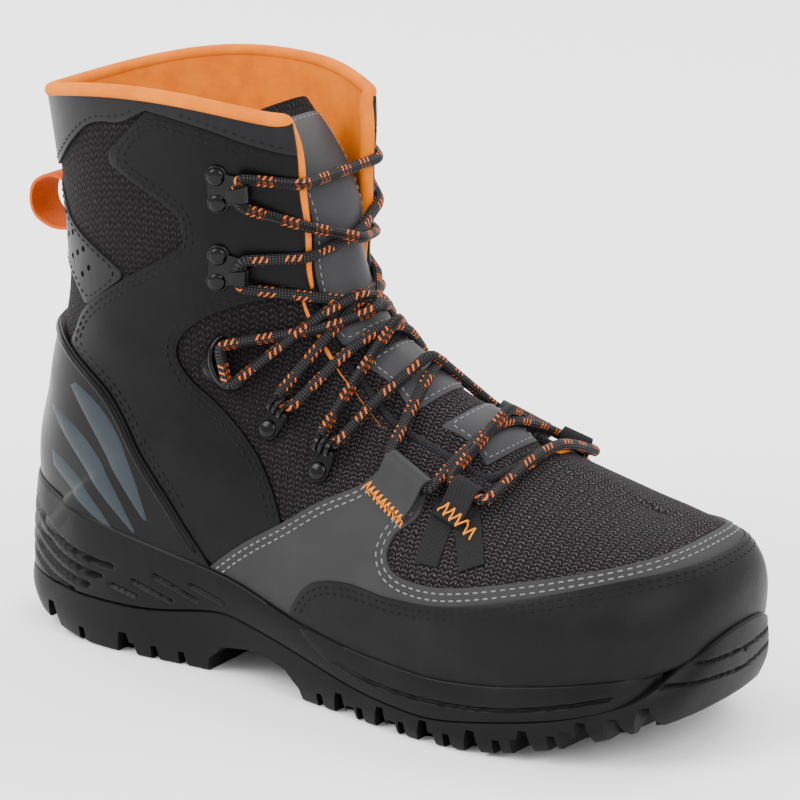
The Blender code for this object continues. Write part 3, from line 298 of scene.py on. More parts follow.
def knitted(name, dark, light, column=3.2 * MM, row=2.4 * MM, depth=0.6 * MM):
    """Chunky knit: columns of V stitches with dark gaps between them, and loose fibres over them. The pale
    loops dim towards the heel as painted shade.
    """
    made, at = surface(name, dark, 0.85, 0.12)
    split = add(made, "ShaderNodeSeparateXYZ", {0: at})
    up = counted(made, "SUBTRACT", split.outputs[2], counted(made, "ABSOLUTE", split.outputs[1]))
    drift = counted(made, "MULTIPLY", noise(made, at, 240.0, 1.0), 0.7)
    columns = counted(made, "DIVIDE", split.outputs[0], column)
    across = counted(made, "FRACT", counted(made, "ADD", columns, drift))
    from_middle = counted(made, "ABSOLUTE", counted(made, "SUBTRACT", across, 0.5))
    slope = counted(made, "MULTIPLY", from_middle, 1.4)
    rise = counted(made, "ADD", counted(made, "DIVIDE", up, row), slope)
    place = counted(made, "FRACT", counted(made, "ADD", rise, drift))
    off_ridge = counted(made, "ABSOLUTE", counted(made, "SUBTRACT", place, 0.5))
    stitch = eased(made, off_ridge, 0.12, 0.36, 1.0, 0.0)
    gap = eased(made, from_middle, 0.34, 0.48, 1.0, 0.1)
    fold = eased(made, from_middle, 0.0, 0.1, 0.35, 1.0)
    loops = counted(made, "MULTIPLY", stitch, counted(made, "MULTIPLY", gap, fold))
    strands = noise(made, at, 1900.0, 2.0)
    seen = counted(made, "MULTIPLY", loops, eased(made, strands, 0.25, 0.65))
    # Painted shade: the pale loops fall to about a third of their colour towards the heel, standing in for the
    # light falling off there.
    painted_shade_to_heel = eased(made, split.outputs[0], 0.06, 0.15, 0.3, 1.0)
    tinted(made, counted(made, "MULTIPLY", seen, painted_shade_to_heel), light)
    bumped(made, loops, depth)
    bumped(made, strands, 0.08 * MM, 0.7)
    return made


def brushed(name, color, shade):
    """Brushed jersey: a soft short nap that lies in patches."""
    made, at = surface(name, color, 0.9, 0.1)
    tinted(made, eased(made, noise(made, at, 90.0, 4.0), 0.35, 0.75, 0.0, 0.55), shade)
    nap = noise(made, at, 2600.0, 2.0)
    bumped(made, nap, 0.12 * MM, 0.8)
    bumped(made, noise(made, at, 240.0, 3.0), 0.5 * MM, 0.5)
    return made


def coated(name, color, worn, rough=(0.36, 0.5), specular=0.3, grain=1500.0, depth=0.06 * MM):
    """Coated leather or rubber: a fine even grain, paler where it is rubbed."""
    made, at = surface(name, color, rough[0], specular)
    broad = noise(made, at, 55.0, 5.0)
    fine = cells(made, at, grain, 0.9)
    tinted(made, eased(made, broad, 0.42, 0.8, 0.0, 0.6), worn)
    roughened(made, broad, *rough)
    bumped(made, fine, depth, 0.5)
    bumped(made, noise(made, at, 320.0, 3.0), 0.25 * MM, 0.25)
    return made


def shell_between(name, points, normals, faces, low, high):
    """A closed sheet between two heights over the form, which may differ from point to point."""
    low = np.broadcast_to(np.asarray(low, float).reshape(-1, 1), (len(points), 1))
    high = np.broadcast_to(np.asarray(high, float).reshape(-1, 1), (len(points), 1))
    count = len(points)
    ends = {}
    for face in faces:
        for a, b in zip(face, face[1:] + face[:1]):
            ends[(a, b)] = ends.get((a, b), 0) + 1
    rim = [(a, b) for a, b in ends if (b, a) not in ends]
    every = [tuple(face) for face in faces]
    every += [tuple(i + count for i in reversed(face)) for face in faces]
    every += [(b, a, a + count, b + count) for a, b in rim]
    made = object_from(name, np.concatenate([points + normals * high, points + normals * low]), every)
    return made, rim


BLACK_KNIT = knitted("black knit", (0.0022, 0.0018, 0.0022), (0.062, 0.049, 0.052))
ORANGE_LINING = brushed("orange lining", (0.63, 0.155, 0.0), (0.45, 0.08, 0.0))
upper, _ = shell_between("upper_knit", SKIN, SKIN_NORMALS, SKIN_FACES, -UPPER_WALL, 0.0)
finish_piece(upper, "upper_lining", BLACK_KNIT, "upper")
upper.data.materials.append(ORANGE_LINING)
for polygon in upper.data.polygons[len(SKIN_FACES):2 * len(SKIN_FACES)]:
    polygon.material_index = 1


# The quarters
# Smooth coated leather cut to one outline for each side, stitched over the knit with two rows near its edges.
# Outlines are drawn on the side view, in millimetres of the boot's length and height.
LEATHER = 1.2 * MM
ROUND = 0.45 * MM


def drawn(points, step=0.7):
    """A smooth line through points of the side view. Two points give a straight one."""
    knots = np.array(points, float)
    if len(knots) == 2:
        return knots
    knots = np.concatenate([[2 * knots[0] - knots[1]], knots, [2 * knots[-1] - knots[-2]]])
    line = []
    for p0, p1, p2, p3 in zip(knots, knots[1:], knots[2:], knots[3:]):
        for t in np.arange(0.0, 1.0, min(1.0, step / max(np.linalg.norm(p2 - p1), step))):
            line.append(0.5 * (
                2 * p1 + (p2 - p0) * t + (2 * p0 - 5 * p1 + 4 * p2 - p3) * t * t
                + (3 * p1 - p0 - 3 * p2 + p3) * t ** 3
            ))
    line.append(knots[-2])
    return np.array(line)


def outline(*runs):
    """A closed outline of the side view from lines laid end to end, in metres."""
    return np.concatenate([drawn(run) for run in runs]) * MM


def inside(points, border):
    """How far points lie inside an outline of the side view, and less than nought outside it."""
    flat = points[:, [0, 2]]
    nearest = np.full(len(flat), 1e9)
    odd = np.zeros(len(flat), bool)
    for a, b in zip(border, np.roll(border, -1, axis=0)):
        along = b - a
        span = flat - a
        share = np.clip(span @ along / max(along @ along, 1e-18), 0.0, 1.0)
        nearest = np.minimum(nearest, ((span - share[:, None] * along) ** 2).sum(axis=1))
        straddles = (a[1] > flat[:, 1]) != (b[1] > flat[:, 1])
        if straddles.any():
            reach = a[0] + (flat[:, 1] - a[1]) * along[0] / (along[1] if along[1] else 1e-18)
            odd ^= straddles & (flat[:, 0] < reach)
    return np.where(odd, 1.0, -1.0) * np.sqrt(nearest)


def unit(vectors):
    """Rows of numbers, each brought to a length of one."""
    return vectors / np.linalg.norm(vectors, axis=1)[:, None]


def cut_from_form(value, form):
    """The part of a form where a value is above nought. Corners near the border are drawn onto it."""
    value = value.copy()
    points, normals, form_faces, edges = form
    unmoved, upright = points, normals
    points, normals = points.copy(), normals.copy()
    a, b = edges[value[edges[:, 0]] * value[edges[:, 1]] < 0].T
    share = value[a] / (value[a] - value[b])
    corner = np.where(share < 0.5, a, b)
    order = np.argsort(-np.minimum(share, 1 - share), kind="stable")
    place = unmoved[a] + share[:, None] * (unmoved[b] - unmoved[a])
    lean = upright[a] + share[:, None] * (upright[b] - upright[a])
    points[corner[order]] = place[order]
    normals[corner[order]] = lean[order]
    value[corner] = 0.0
    kept = []
    for face in form_faces:
        signs = [value[i] for i in face]
        if min(signs) < 0 < max(signs):
            for k in range(len(face)):
                three = (face[k - 1], face[k], face[(k + 1) % len(face)])
                if signs[k] > 0 and signs[k - 1] >= 0 and signs[(k + 1) % len(face)] >= 0:
                    kept.append(three)
        elif min(signs) >= 0 and max(signs) > 0:
            kept.append(face)
    used = np.unique(np.concatenate([np.array(face) for face in kept]))
    index = {old: new for new, old in enumerate(used)}
    faces = [tuple(index[i] for i in face) for face in kept]
    return points[used], unit(normals[used]), faces, value[used]


def rounded(piece, rim, width):
    """Bevels a panel's cut edge along its top."""
    work = bmesh.new()
    work.from_mesh(piece.data)
    work.verts.ensure_lookup_table()
    edges = [work.edges.get((work.verts[a], work.verts[b])) for a, b in rim]
    bmesh.ops.bevel(work, geom=[e for e in edges if e], offset=width, segments=2, profile=0.6, affect="EDGES",
                    clamp_overlap=True)
    work.to_mesh(piece.data)
    work.free()


LASTED = (SKIN, SKIN_NORMALS, SKIN_FACES, SKIN_EDGES)


def panel(name, value, thickness, low=-0.6 * MM, width=ROUND, form=LASTED, swell=0.0):
    """One cut panel over a form, with its cut edge rounded. A padded one swells away from its edge."""
    points, normals, faces, depth = cut_from_form(value, form)
    high = thickness + swell * (1 - np.exp(-np.clip(depth, 0, None) / (3 * MM)))
    piece, rim = shell_between(name, points, normals, faces, low, high)
    if width:
        rounded(piece, rim, width)
    return piece


LATERAL = SKIN[:, 1] < 0
FAR = 0.5
COUNTER_EDGE = [(-60, 125), (-30, 121), (-12, 116), (8, 103), (26, 80), (42, 62), (57, 42), (70, 15)]
QUARTER_LOW = [(91, 65), (73, 54), (57, 42), (40, 28)]
QUARTER_FRONT = [
    (140, 143), (100, 145), (86, 146), (71, 144), (56, 138), (45, 130), (41, 121), (47, 112), (64, 101),
    (81, 85),
    (91, 65),
]
QUARTER_TOP = [(33.3, 213.4), (47.5, 211.2), (61.3, 208), (81.7, 201), (140, 184)]
quarter_outline = outline(
    [(-14, 116), (-9, 121), (-2.5, 132), (19, 147), (36, 157), (46.6, 164.5), (46, 170), (43, 176), (16, 190),
     (12.5, 193.5)],
    [(12.5, 193.5), (33.3, 213.4)],
    QUARTER_TOP,
    [(140, 184), (140, 143)],
    QUARTER_FRONT,
    QUARTER_LOW,
    [(40, 28), (-14, 60)],
)
counter_foot = ([(70, 15), (70, -40)], [(70, -40), (-90, -40)], [(-90, -40), (-90, 125)])
counter_outline = outline(COUNTER_EDGE, *counter_foot)
behind_counter = inside(SKIN, counter_outline)
in_quarter = np.minimum(inside(SKIN, quarter_outline), -behind_counter)
black_leather = coated(
    "black coated leather", (0.0022, 0.0022, 0.0025), (0.005, 0.005, 0.0055), (0.3, 0.42), 0.09
)
for side, half in (("lateral", LATERAL), ("medial", ~LATERAL)):
    piece = panel("quarter_" + side + "_leather", np.where(half, in_quarter, -FAR), LEATHER)
    finish_piece(piece, "quarter_black", black_leather, "quarter_" + side)


# The vamp overlay
# Grey nubuck that runs round the forefoot below the knitted toe, with two stitched rows along each edge.
OVERLAY = 1.3 * MM
TOE_OPENING = [
    (151, 87), (151, 78), (144, 71), (143, 63), (150, 58), (169, 58), (199, 64), (229, 70), (241, 73),
    (243, 76),
    (236, 90),
]
overlay_outline = outline(
    [(40, 28), (57, 42), (73, 54), (91, 65)],
    [(91, 65), (108, 76), (125, 85), (133, 95)],
    [(133, 95), (151, 87)],
    TOE_OPENING,
    [(236, 90), (300, 90)],
    [(300, 90), (300, -40)],
    [(300, -40), (40, -40)],
)
in_overlay = inside(SKIN, overlay_outline)
grey_nubuck = coated("grey nubuck", (0.024, 0.0238, 0.0246), (0.034, 0.0335, 0.0345), (0.5, 0.65), 0.08, 2200.0)
finish_piece(panel("overlay_nubuck", in_overlay, OVERLAY), "overlay_grey", grey_nubuck, "vamp_overlay")


# The toe rand
# Dull black rubbery coat round the forefoot and toe, glued low, with two stitched rows along its top.
RAND = 2.0 * MM
RAND_TOP = [
    (95, 25), (99, 36), (109, 47), (126, 51), (146, 50), (171, 52), (202, 59), (232, 66), (248, 69), (262, 72),
]
rand_outline = outline(RAND_TOP, [(262, 72), (320, 72)], [(320, 72), (320, -40)], [(320, -40), (95, -40)])
in_rand = inside(SKIN, rand_outline)
rand_rubber = coated(
    "rand rubber", (0.0045, 0.0045, 0.0048), (0.009, 0.009, 0.0095), (0.4, 0.54), 0.09, 900.0, 0.1 * MM
)
finish_piece(panel("rand_coat", in_rand, RAND), "rand_rubber", rand_rubber, "rand")


# The heel counter
# Moulded rubber shell round the heel, glued over the leather. Its ridge and insets follow further down.
COUNTER = 1.9 * MM
counter_rubber = coated(
    "counter rubber", (0.003, 0.003, 0.0034), (0.006, 0.0062, 0.0068), (0.3, 0.42), 0.09, 1300.0
)
finish_piece(panel("counter_shell", behind_counter, COUNTER), "counter_rubber", counter_rubber, "counter")


# The collar
# Padded band of smooth dark grey leather round the top, and a perforated patch of the same below it.
CUFF_LOW = [
    (-70, 178), (-35, 179), (-21, 183.5), (-6, 196.5), (4, 204), (12, 206.5), (21, 207.5), (33.3, 213.4),
]
cuff_outline = outline(CUFF_LOW, QUARTER_TOP, [(140, 184), (140, 260)], [(140, 260), (-70, 260)])
in_cuff = inside(SKIN, cuff_outline)
grey_leather = coated("dark grey leather", (0.0085, 0.0085, 0.0092), (0.015, 0.015, 0.016), (0.34, 0.46), 0.09)
finish_piece(panel("cuff_band", in_cuff, LEATHER), "cuff_padding", grey_leather, "cuff")
patch_outline = outline(
    [(-70, 185), (-35, 179), (-21, 172), (-14, 164), (6.6, 155), (20, 148.5)],
    [(20, 148.5), (-2.5, 132.5)],
    [(-2.5, 132.5), (-14, 141), (-30, 146), (-70, 150)],
)
patch = panel("heel_patch", inside(SKIN, patch_outline), 0.9 * MM)
finish_piece(patch, "cuff_padding", grey_leather)


# The midsole
# One moulded foam-rubber wedge that holds the upper in a raised lip, with ribs pressed into its heel and waist.
# Its rings follow the upper's foot edge, and each line of its side is given where it stands along the boot.
LIP_WALL = 2.6 * MM
BUMPER_START = 245.5 * MM
SIDE_COLUMNS = ("x", "lip", "split", "base", "bumper", "split_out", "base_out", "midsole_out")
SIDE_LINES = np.array((
    # millimetres: place along the boot, heights over the floor, how far each edge stands out from the foot
    (-43.6, 58.1, 22.4, 7.9, 22.4, 5.9, 3.3, 5.6),
    (-33.0, 57.1, 21.8, 5.9, 21.8, 8.9, 6.6, 8.6),
    (-5.1, 52.1, 19.8, 0.0, 19.8, 10.9, 8.9, 10.6),
    (29.8, 45.9, 20.1, 0.0, 20.1, 11.2, 9.2, 10.9),
    (64.6, 39.9, 26.1, 0.0, 26.1, 10.6, 7.9, 10.2),
    (99.4, 31.0, 20.1, 0.0, 20.1, 9.9, 7.3, 9.6),
    (134.3, 26.1, 11.9, 0.0, 11.9, 9.2, 7.3, 8.9),
    (167.6, 24.8, 9.6, 0.0, 9.6, 9.6, 7.6, 9.2),
    (191.9, 27.1, 13.9, 1.0, 13.9, 9.6, 7.3, 9.2),
    (216.1, 30.7, 18.2, 6.3, 18.2, 8.9, 5.9, 8.6),
    (238.8, 34.7, 24.8, 13.5, 25.7, 7.9, 4.6, 7.3),
    (246.8, 36.3, 27.1, 15.5, 34.7, 7.3, 4.0, -3.3),
    (252.5, 38.6, 29.7, 17.2, 44.9, 6.6, 3.3, -3.3),
    (257.0, 40.3, 31.4, 18.5, 50.2, 5.6, 2.6, -3.3),
))


def tree_of(points, faces):
    return BVHTree.FromPolygons([Vector(p) for p in points], faces)


SKIN_TREE = tree_of(SKIN, SKIN_FACES)


def edge_loops(faces):
    """The open edges of a sheet, end to end."""
    after = {}
    for face in faces:
        for a, b in zip(face, face[1:] + face[:1]):
            after[(a, b)] = True
    after = {a: b for a, b in after if (b, a) not in after}
    loops = []
    while after:
        start = next(iter(after))
        loop = [start]
        while True:
            following = after.pop(loop[-1])
            if following == start:
                break
            loop.append(following)
        loops.append(loop)
    return loops


def bell(reach):
    """Shares for a smooth mean over so many neighbours on each side."""
    weight = np.exp(-0.5 * (np.arange(-reach, reach + 1) / (0.5 * reach)) ** 2)
    return weight / weight.sum()


def round_smoothed(values, reach):
    """Values round a closed ring, each made the mean of its neighbours."""
    return sum(w * np.roll(values, k - reach, axis=0) for k, w in enumerate(bell(reach)))


def lengths_along(line):
    """How far each point of a line lies from its first."""
    return np.concatenate([[0.0], np.cumsum(np.linalg.norm(np.diff(line[:, :3], axis=0), axis=1))])


skin_loops = sorted(edge_loops(SKIN_FACES), key=lambda loop: SKIN[loop][:, 2].mean())
foot_loop = skin_loops[0]
start = min(range(len(foot_loop)), key=lambda i: SKIN[foot_loop[i]][0] + abs(SKIN[foot_loop[i]][1]))
foot_loop = foot_loop[start:] + foot_loop[:start]
if SKIN[foot_loop[len(foot_loop) // 4]][1] > 0:
    foot_loop = foot_loop[:1] + foot_loop[:0:-1]
STATIONS = 720
foot_line = SKIN[foot_loop + foot_loop[:1]]
foot_steps = lengths_along(foot_line)
foot_at = np.linspace(0, foot_steps[-1], STATIONS + 1)[:-1]
FOOT = np.stack([np.interp(foot_at, foot_steps, foot_line[:, k]) for k in range(3)], 1)
FOOT = round_smoothed(FOOT, 5)
ahead = np.roll(FOOT, -1, axis=0) - np.roll(FOOT, 1, axis=0)
sideways = np.stack([ahead[:, 1], -ahead[:, 0], 0 * ahead[:, 0]], 1)
FOOT_OUT = unit(round_smoothed(unit(sideways), 11))
steps = np.linalg.norm(np.roll(FOOT, -1, axis=0) - FOOT, axis=1)
walked = np.concatenate([[0.0], np.cumsum(steps)[:-1]])
TOE = int(np.argmax(FOOT[:, 0]))
RUN = np.where(
    np.arange(STATIONS) <= TOE,
    walked / walked[TOE],
    (steps.sum() - walked) / (steps.sum() - walked[TOE]),
) * walked[TOE]


def side_line(column):
    """One line of the sole's side at every station, in metres."""
    k = SIDE_COLUMNS.index(column)
    return round_smoothed(np.interp(FOOT[:, 0] / MM, SIDE_LINES[:, 0], SIDE_LINES[:, k]) * MM, 15)


def skin_reach(heights):
    """How far outside the foot's edge the form stands at a height for each station."""
    found = []
    for place, out, height in zip(FOOT, FOOT_OUT, heights):
        origin = Vector((*(place[:2] - 0.02 * out[:2]), height))
        hit = SKIN_TREE.ray_cast(origin, Vector(out))
        found.append(hit[3] - 0.02 if hit[0] else 0.0)
    return round_smoothed(np.array(found), 9)


def ring(out, height):
    points = FOOT + FOOT_OUT * np.asarray(out).reshape(-1, 1)
    points[:, 2] = height
    return points


def bent(first, middle, last, share):
    """A curve through three values."""
    rest = 1 - share
    return first * rest * (1 - 2 * share) + 4 * middle * share * rest + last * share * (2 * share - 1)


def run_at(x):
    """How far from the heel's back a place along the boot lies, round the sole."""
    return float(np.interp(x * MM, FOOT[:TOE + 1, 0], RUN[:TOE + 1]))


def line_distance(run, height, line):
    """How far places on the unrolled side lie from a line on it."""
    nearest = np.full(run.shape, 1e9)
    for (u0, v0), (u1, v1) in zip(line, line[1:]):
        du, dv = u1 - u0, v1 - v0
        share = np.clip(((run - u0) * du + (height - v0) * dv) / (du * du + dv * dv), 0, 1)
        nearest = np.minimum(nearest, (run - u0 - share * du) ** 2 + (height - v0 - share * dv) ** 2)
    return np.sqrt(nearest)


def pressed(run, height, grooves):
    """How deep the grooves are pressed in at places on the unrolled side."""
    deep = np.zeros(run.shape)
    for knots, width, depth in grooves:
        line = drawn(knots, 2.0) * MM
        near = np.clip(line_distance(run, height, line) / (width * MM), 0, 1)
        deep = np.maximum(deep, depth * MM * (1 - near ** 2) ** 1.5)
    return deep


def on_run(*points):
    """Points of the side view as places on the unrolled side, in millimetres."""
    return [(run_at(x) / MM, z) for x, z in points]


def faced_outward(made):
    """Turns every face of a closed piece to look out of it."""
    only(made)
    bpy.ops.object.mode_set(mode="EDIT")
    bpy.ops.mesh.select_all(action="SELECT")
    bpy.ops.mesh.normals_make_consistent(inside=False)
    bpy.ops.object.mode_set(mode="OBJECT")
    return made


def grid_faces(rows, count, closed=False):
    """Faces between rows of points that close on themselves. Closed, the last row also meets the first."""
    faces = []
    for i in range(rows if closed else rows - 1):
        j = (i + 1) % rows
        for k in range(count):
            n = (k + 1) % count
            faces.append((i * count + k, i * count + n, j * count + n, j * count + k))
    return faces


def ring_band(name, rings, capped=False):
    """A closed ring of rubber through rings of points. Capped, its two end rings are closed across."""
    count = STATIONS
    faces = grid_faces(len(rings), count, not capped)
    if capped:
        for j in (0, len(rings) - 1):
            for i in range(count // 2):
                a, b, c, d = i, i + 1, (count - i - 1) % count, (count - i) % count
                faces.append(tuple(dict.fromkeys(j * count + m for m in (a, b, c, d))))
    return faced_outward(object_from(name, np.concatenate(rings), faces))


WAIST_LINE = (
    (107, 29), (113, 24.5), (122, 20.5), (140, 17.5), (160, 16.6), (185, 18), (207, 21.2), (232, 27.5),
)
MIDSOLE_GROOVES = (
    # knots on the unrolled side, half width and depth in millimetres
    ([(0, 50)] + on_run((-30, 46), (-20, 41), (-8, 37), (4, 34.8), (13, 34)), 1.5, 2.0),
    ([(0, 44)] + on_run((-30, 40), (-22, 36.5), (-12, 32.5), (0, 29.8), (8, 29)), 1.5, 2.0),
    ([(0, 38.5)] + on_run((-31, 35), (-24, 31.5), (-14, 27.6), (-4, 25), (2, 24.4)), 1.5, 1.9),
    ([(0, 33)] + on_run((-32, 29.5), (-26, 26.5), (-16, 22.5), (-6, 20.6)), 1.3, 1.5),
    (on_run((13, 27.2), (24, 24.6)), 1.3, 1.5),
    (on_run((23, 30.6), (40, 25.4)), 1.3, 1.6),
    (on_run((33, 34.4), (53, 27.6)), 1.3, 1.6),
    (on_run((50, 33.5), (66, 29.3)), 1.2, 1.4),
    (on_run(*WAIST_LINE), 1.0, 1.2),
)
lip_height = side_line("lip")
split_height = side_line("split")
lip_out = skin_reach(lip_height) + LIP_WALL
midsole_out = side_line("midsole_out")
under_bumper = FOOT[:, 0] > BUMPER_START
lip_out = round_smoothed(np.where(under_bumper, -2.0 * MM, lip_out), 9)
midsole_rings = [ring(midsole_out - inward * MM, split_height + 0.3 * MM) for inward in (8, 0.8)]
for share in np.linspace(0.02, 0.97, 48):
    height = split_height + share * (lip_height - split_height)
    out = bent(midsole_out, 0.5 * midsole_out + 0.5 * lip_out + 0.9 * MM, lip_out, share)
    out = np.where(under_bumper, out, np.maximum(out, skin_reach(height) + LIP_WALL))
    midsole_rings.append(ring(out - pressed(RUN, height, MIDSOLE_GROOVES), height))
midsole_rings.append(ring(lip_out - 0.5 * MM, lip_height))
midsole_rings.append(ring(lip_out - 6.5 * MM, lip_height))
sole_rubber = coated("sole rubber", (0.0028, 0.0028, 0.003), (0.006, 0.006, 0.0063), (0.34, 0.48), 0.1, 1100.0)
finish_piece(ring_band("midsole_wedge", midsole_rings), "midsole_rubber", sole_rubber, "midsole")


# The outsole
# Hard black rubber, moulded with a toe bumper that wraps the upper and with deep lugs under heel and forefoot.
BUMPER_WALL = 3.6 * MM
TREAD_DEPTH = 5.2 * MM
OUTSOLE_GROOVES = (
    ([(run_at(250) / MM, 37.0), (run_at(255) / MM, 36.5), (RUN[TOE] / MM, 35.5)], 0.9, 1.3),
    ([(run_at(244) / MM, 30.6), (run_at(252) / MM, 30.0), (RUN[TOE] / MM, 28.5)], 0.9, 1.3),
)
base_height = side_line("base")
top_height = np.maximum(side_line("bumper"), split_height)
split_out = side_line("split_out")
base_out = side_line("base_out")
wrap = np.clip((FOOT[:, 0] / MM - 240.0) / 7.0, 0, 1)
wrap = round_smoothed(wrap * wrap * (3 - 2 * wrap), 9)
top_out = (1 - wrap) * 0.97 * split_out + wrap * (skin_reach(top_height) + BUMPER_WALL)
outsole_rings = [ring(top_out - 9 * MM, top_height), ring(top_out - 0.9 * MM, top_height)]
for share in np.linspace(0.97, 0.04, 34):
    height = base_height + share * (top_height - base_height)
    out = bent(base_out, split_out + 0.3 * MM, top_out, share)
    outsole_rings.append(ring(out - pressed(RUN, height, OUTSOLE_GROOVES), height))
outsole_rings.append(ring(base_out - 0.8 * MM, base_height))
outsole = ring_band("outsole_tread", outsole_rings, capped=True)


def prism_cutter(outline, low, high, lean=0.0):
    """A closed cutter from an outline of the side view, between two values of y, that leans along x."""
    count = len(outline)
    points = [(x + lean * abs(y), y, z) for y in (low, high) for x, z in outline]
    faces = [tuple(range(count)), tuple(range(2 * count - 1, count - 1, -1))]
    faces += [(i, i + count, (i + 1) % count + count, (i + 1) % count) for i in range(count)]
    return faced_outward(object_from("cutter", points, faces))


def cut_away(piece, cutter):
    cutting = piece.modifiers.new("cut", "BOOLEAN")
    cutting.operation = "DIFFERENCE"
    cutting.solver = "MANIFOLD"
    cutting.object = cutter
    only(piece)
    bpy.ops.object.modifier_apply(modifier="cut")
    bpy.data.objects.remove(cutter)


LUG_GAPS = (
    # millimetres along the boot, mouth, how far in from the edge it reaches, lean along the boot on the way out
    (-21.8, 7.0, 27.0, 0.0),
    (17.6, 7.0, 27.0, 0.1),
    (123.7, 6.2, 24.0, 0.2),
    (144.3, 6.2, 24.0, 0.2),
    (164.9, 6.2, 24.0, 0.1),
    (185.5, 6.2, 24.0, 0.0),
    (206.1, 6.2, 24.0, -0.1),
    (226.7, 6.2, 22.0, -0.2),
    (245.5, 5.5, 18.0, -0.3),
)
SIDE_CUTS = (-4.0, 31.6, 44.0, 113.5, 134.0, 154.6, 175.2, 195.8, 216.4, 236.0)
ARCH = [(52, -12), (57, 6), (64, 12.0), (82, 14.8), (96, 11.5), (103, 5), (106, -12)]


def tread_at(x):
    """Height of the tread's face and half the sole's breadth on each side, at a place along the boot."""
    half = slice(0, TOE + 1)
    place = ring(base_out, base_height)
    back = np.concatenate([place[TOE:], place[:1]])[::-1]
    height = float(np.interp(x, FOOT[half, 0], base_height[half]))
    lateral = -np.interp(x, place[half, 0], place[half, 1])
    return height, float(lateral), float(np.interp(x, back[:, 0], back[:, 1]))


def side_cut(x, mouth, root, depth, inward, lean):
    height, lateral, medial = tread_at(x * MM)
    for side, breadth in ((-1, lateral), (1, medial)):
        inner, outer = side * (breadth - inward * MM), side * (breadth + 20 * MM)
        shape = [
            (x * MM - mouth / 2, height - 4 * MM), (x * MM + mouth / 2, height - 4 * MM),
            (x * MM + root / 2, height + depth), (x * MM - root / 2, height + depth),
        ]
        shape = [(px - lean * abs(inner), pz) for px, pz in shape]
        cut_away(outsole, prism_cutter(shape, min(inner, outer), max(inner, outer), lean))


for x, mouth, inward, lean in LUG_GAPS:
    side_cut(x, mouth * MM, 0.6 * mouth * MM, TREAD_DEPTH, inward, lean)
    side_cut(x, (mouth + 3.0) * MM, 0.5 * mouth * MM, 9.0 * MM, 6.0, 0.0)
for x in SIDE_CUTS:
    side_cut(x, 4.6 * MM, 2.6 * MM, 6.0 * MM, 8.0, 0.0)
for first, last in ((7.0, 44.9), (114.6, 196.4)):
    for y in (-18.2, 18.2):
        shape = [(first, -4), (last, -4), (last - 4, 4.2), (first + 4, 4.2)]
        shape = [(px * MM, pz * MM) for px, pz in shape]
        cut_away(outsole, prism_cutter(shape, (y - 2.2) * MM, (y + 2.2) * MM))
cut_away(outsole, prism_cutter([(px * MM, pz * MM) for px, pz in ARCH], -0.1, 0.1))
tread_rubber = coated("tread rubber", (0.003, 0.003, 0.0031), (0.0065, 0.0065, 0.007), (0.4, 0.54), 0.1, 1000.0)
finish_piece(outsole, "outsole_rubber", tread_rubber, "outsole", smooth_angle=35)


# The lining
# Brushed orange jersey over foam. It rolls out over the collar's rim and down both edges of the throat.
ROLL = 2.7 * MM
BINDING = 2.0 * MM
ROLL_ENDS = 146.0 * MM


def walked_out(line, step):
    """The same line with its points set at even steps."""
    lengths = lengths_along(line)
    at = np.linspace(0.0, lengths[-1], max(int(round(lengths[-1] / step)), 1) + 1)
    return np.stack([np.interp(at, lengths, line[:, k]) for k in range(line.shape[1])], 1)


def softened(line, reach, closed=False):
    """A line with its corners eased over so many points. An open one keeps its ends."""
    if closed:
        return round_smoothed(line, reach)
    padded = np.concatenate([2 * line[:1] - line[reach:0:-1], line, 2 * line[-1:] - line[-2:-reach - 2:-1]])
    return sum(w * padded[k:k + len(line)] for k, w in enumerate(bell(reach)))


def end_faces(rows, count):
    return [tuple(reversed(range(count))), tuple(range((rows - 1) * count, rows * count))]


def tube(path, radius, sides=10, closed=False, flat=1.0, round_ends=True):
    """Points, faces and unrolled places of a tube along a path, carried along without a twist."""
    path = np.array(path, float)
    radius = np.broadcast_to(np.asarray(radius, float), (len(path),)).copy()
    if closed:
        ahead = unit(np.roll(path, -1, axis=0) - np.roll(path, 1, axis=0))
    else:
        ahead = unit(np.gradient(path, axis=0))
    upright = np.zeros_like(path)
    upright[0] = np.cross(ahead[0], [0.3, 0.9, 0.1])
    for i in range(1, len(path)):
        upright[i] = upright[i - 1] - ahead[i] * (upright[i - 1] @ ahead[i])
        upright[i] /= np.linalg.norm(upright[i])
    upright[0] /= np.linalg.norm(upright[0])
    across = np.cross(ahead, upright)
    turns = np.arange(sides) * 2 * math.pi / sides
    if round_ends and not closed:
        radius[[0, -1]] *= 0.55
    rings = path[:, None] + radius[:, None, None] * (
        np.cos(turns)[None, :, None] * upright[:, None] + flat * np.sin(turns)[None, :, None] * across[:, None]
    )
    run = lengths_along(path)
    places = np.stack([np.repeat(run, sides), np.tile(np.arange(sides) / sides, len(path))], 1)
    faces = grid_faces(len(path), sides, closed)
    if not closed:
        faces += end_faces(len(path), sides)
    return rings.reshape(-1, 3), faces, places


def gathered(name, parts):
    """One piece from several shapes, each given as points, faces and unrolled places."""
    points, faces, places, start = [], [], [], 0
    for part_points, part_faces, part_places in parts:
        points.append(part_points)
        places.append(part_places)
        faces += [tuple(i + start for i in face) for face in part_faces]
        start += len(part_points)
    made = object_from(name, np.concatenate(points), faces)
    unrolled = made.data.uv_layers.new(name="unrolled")
    places = np.concatenate(places)
    corners = np.array([loop.vertex_index for loop in made.data.loops])
    unrolled.data.foreach_set("uv", places[corners].ravel())
    return faced_outward(made)


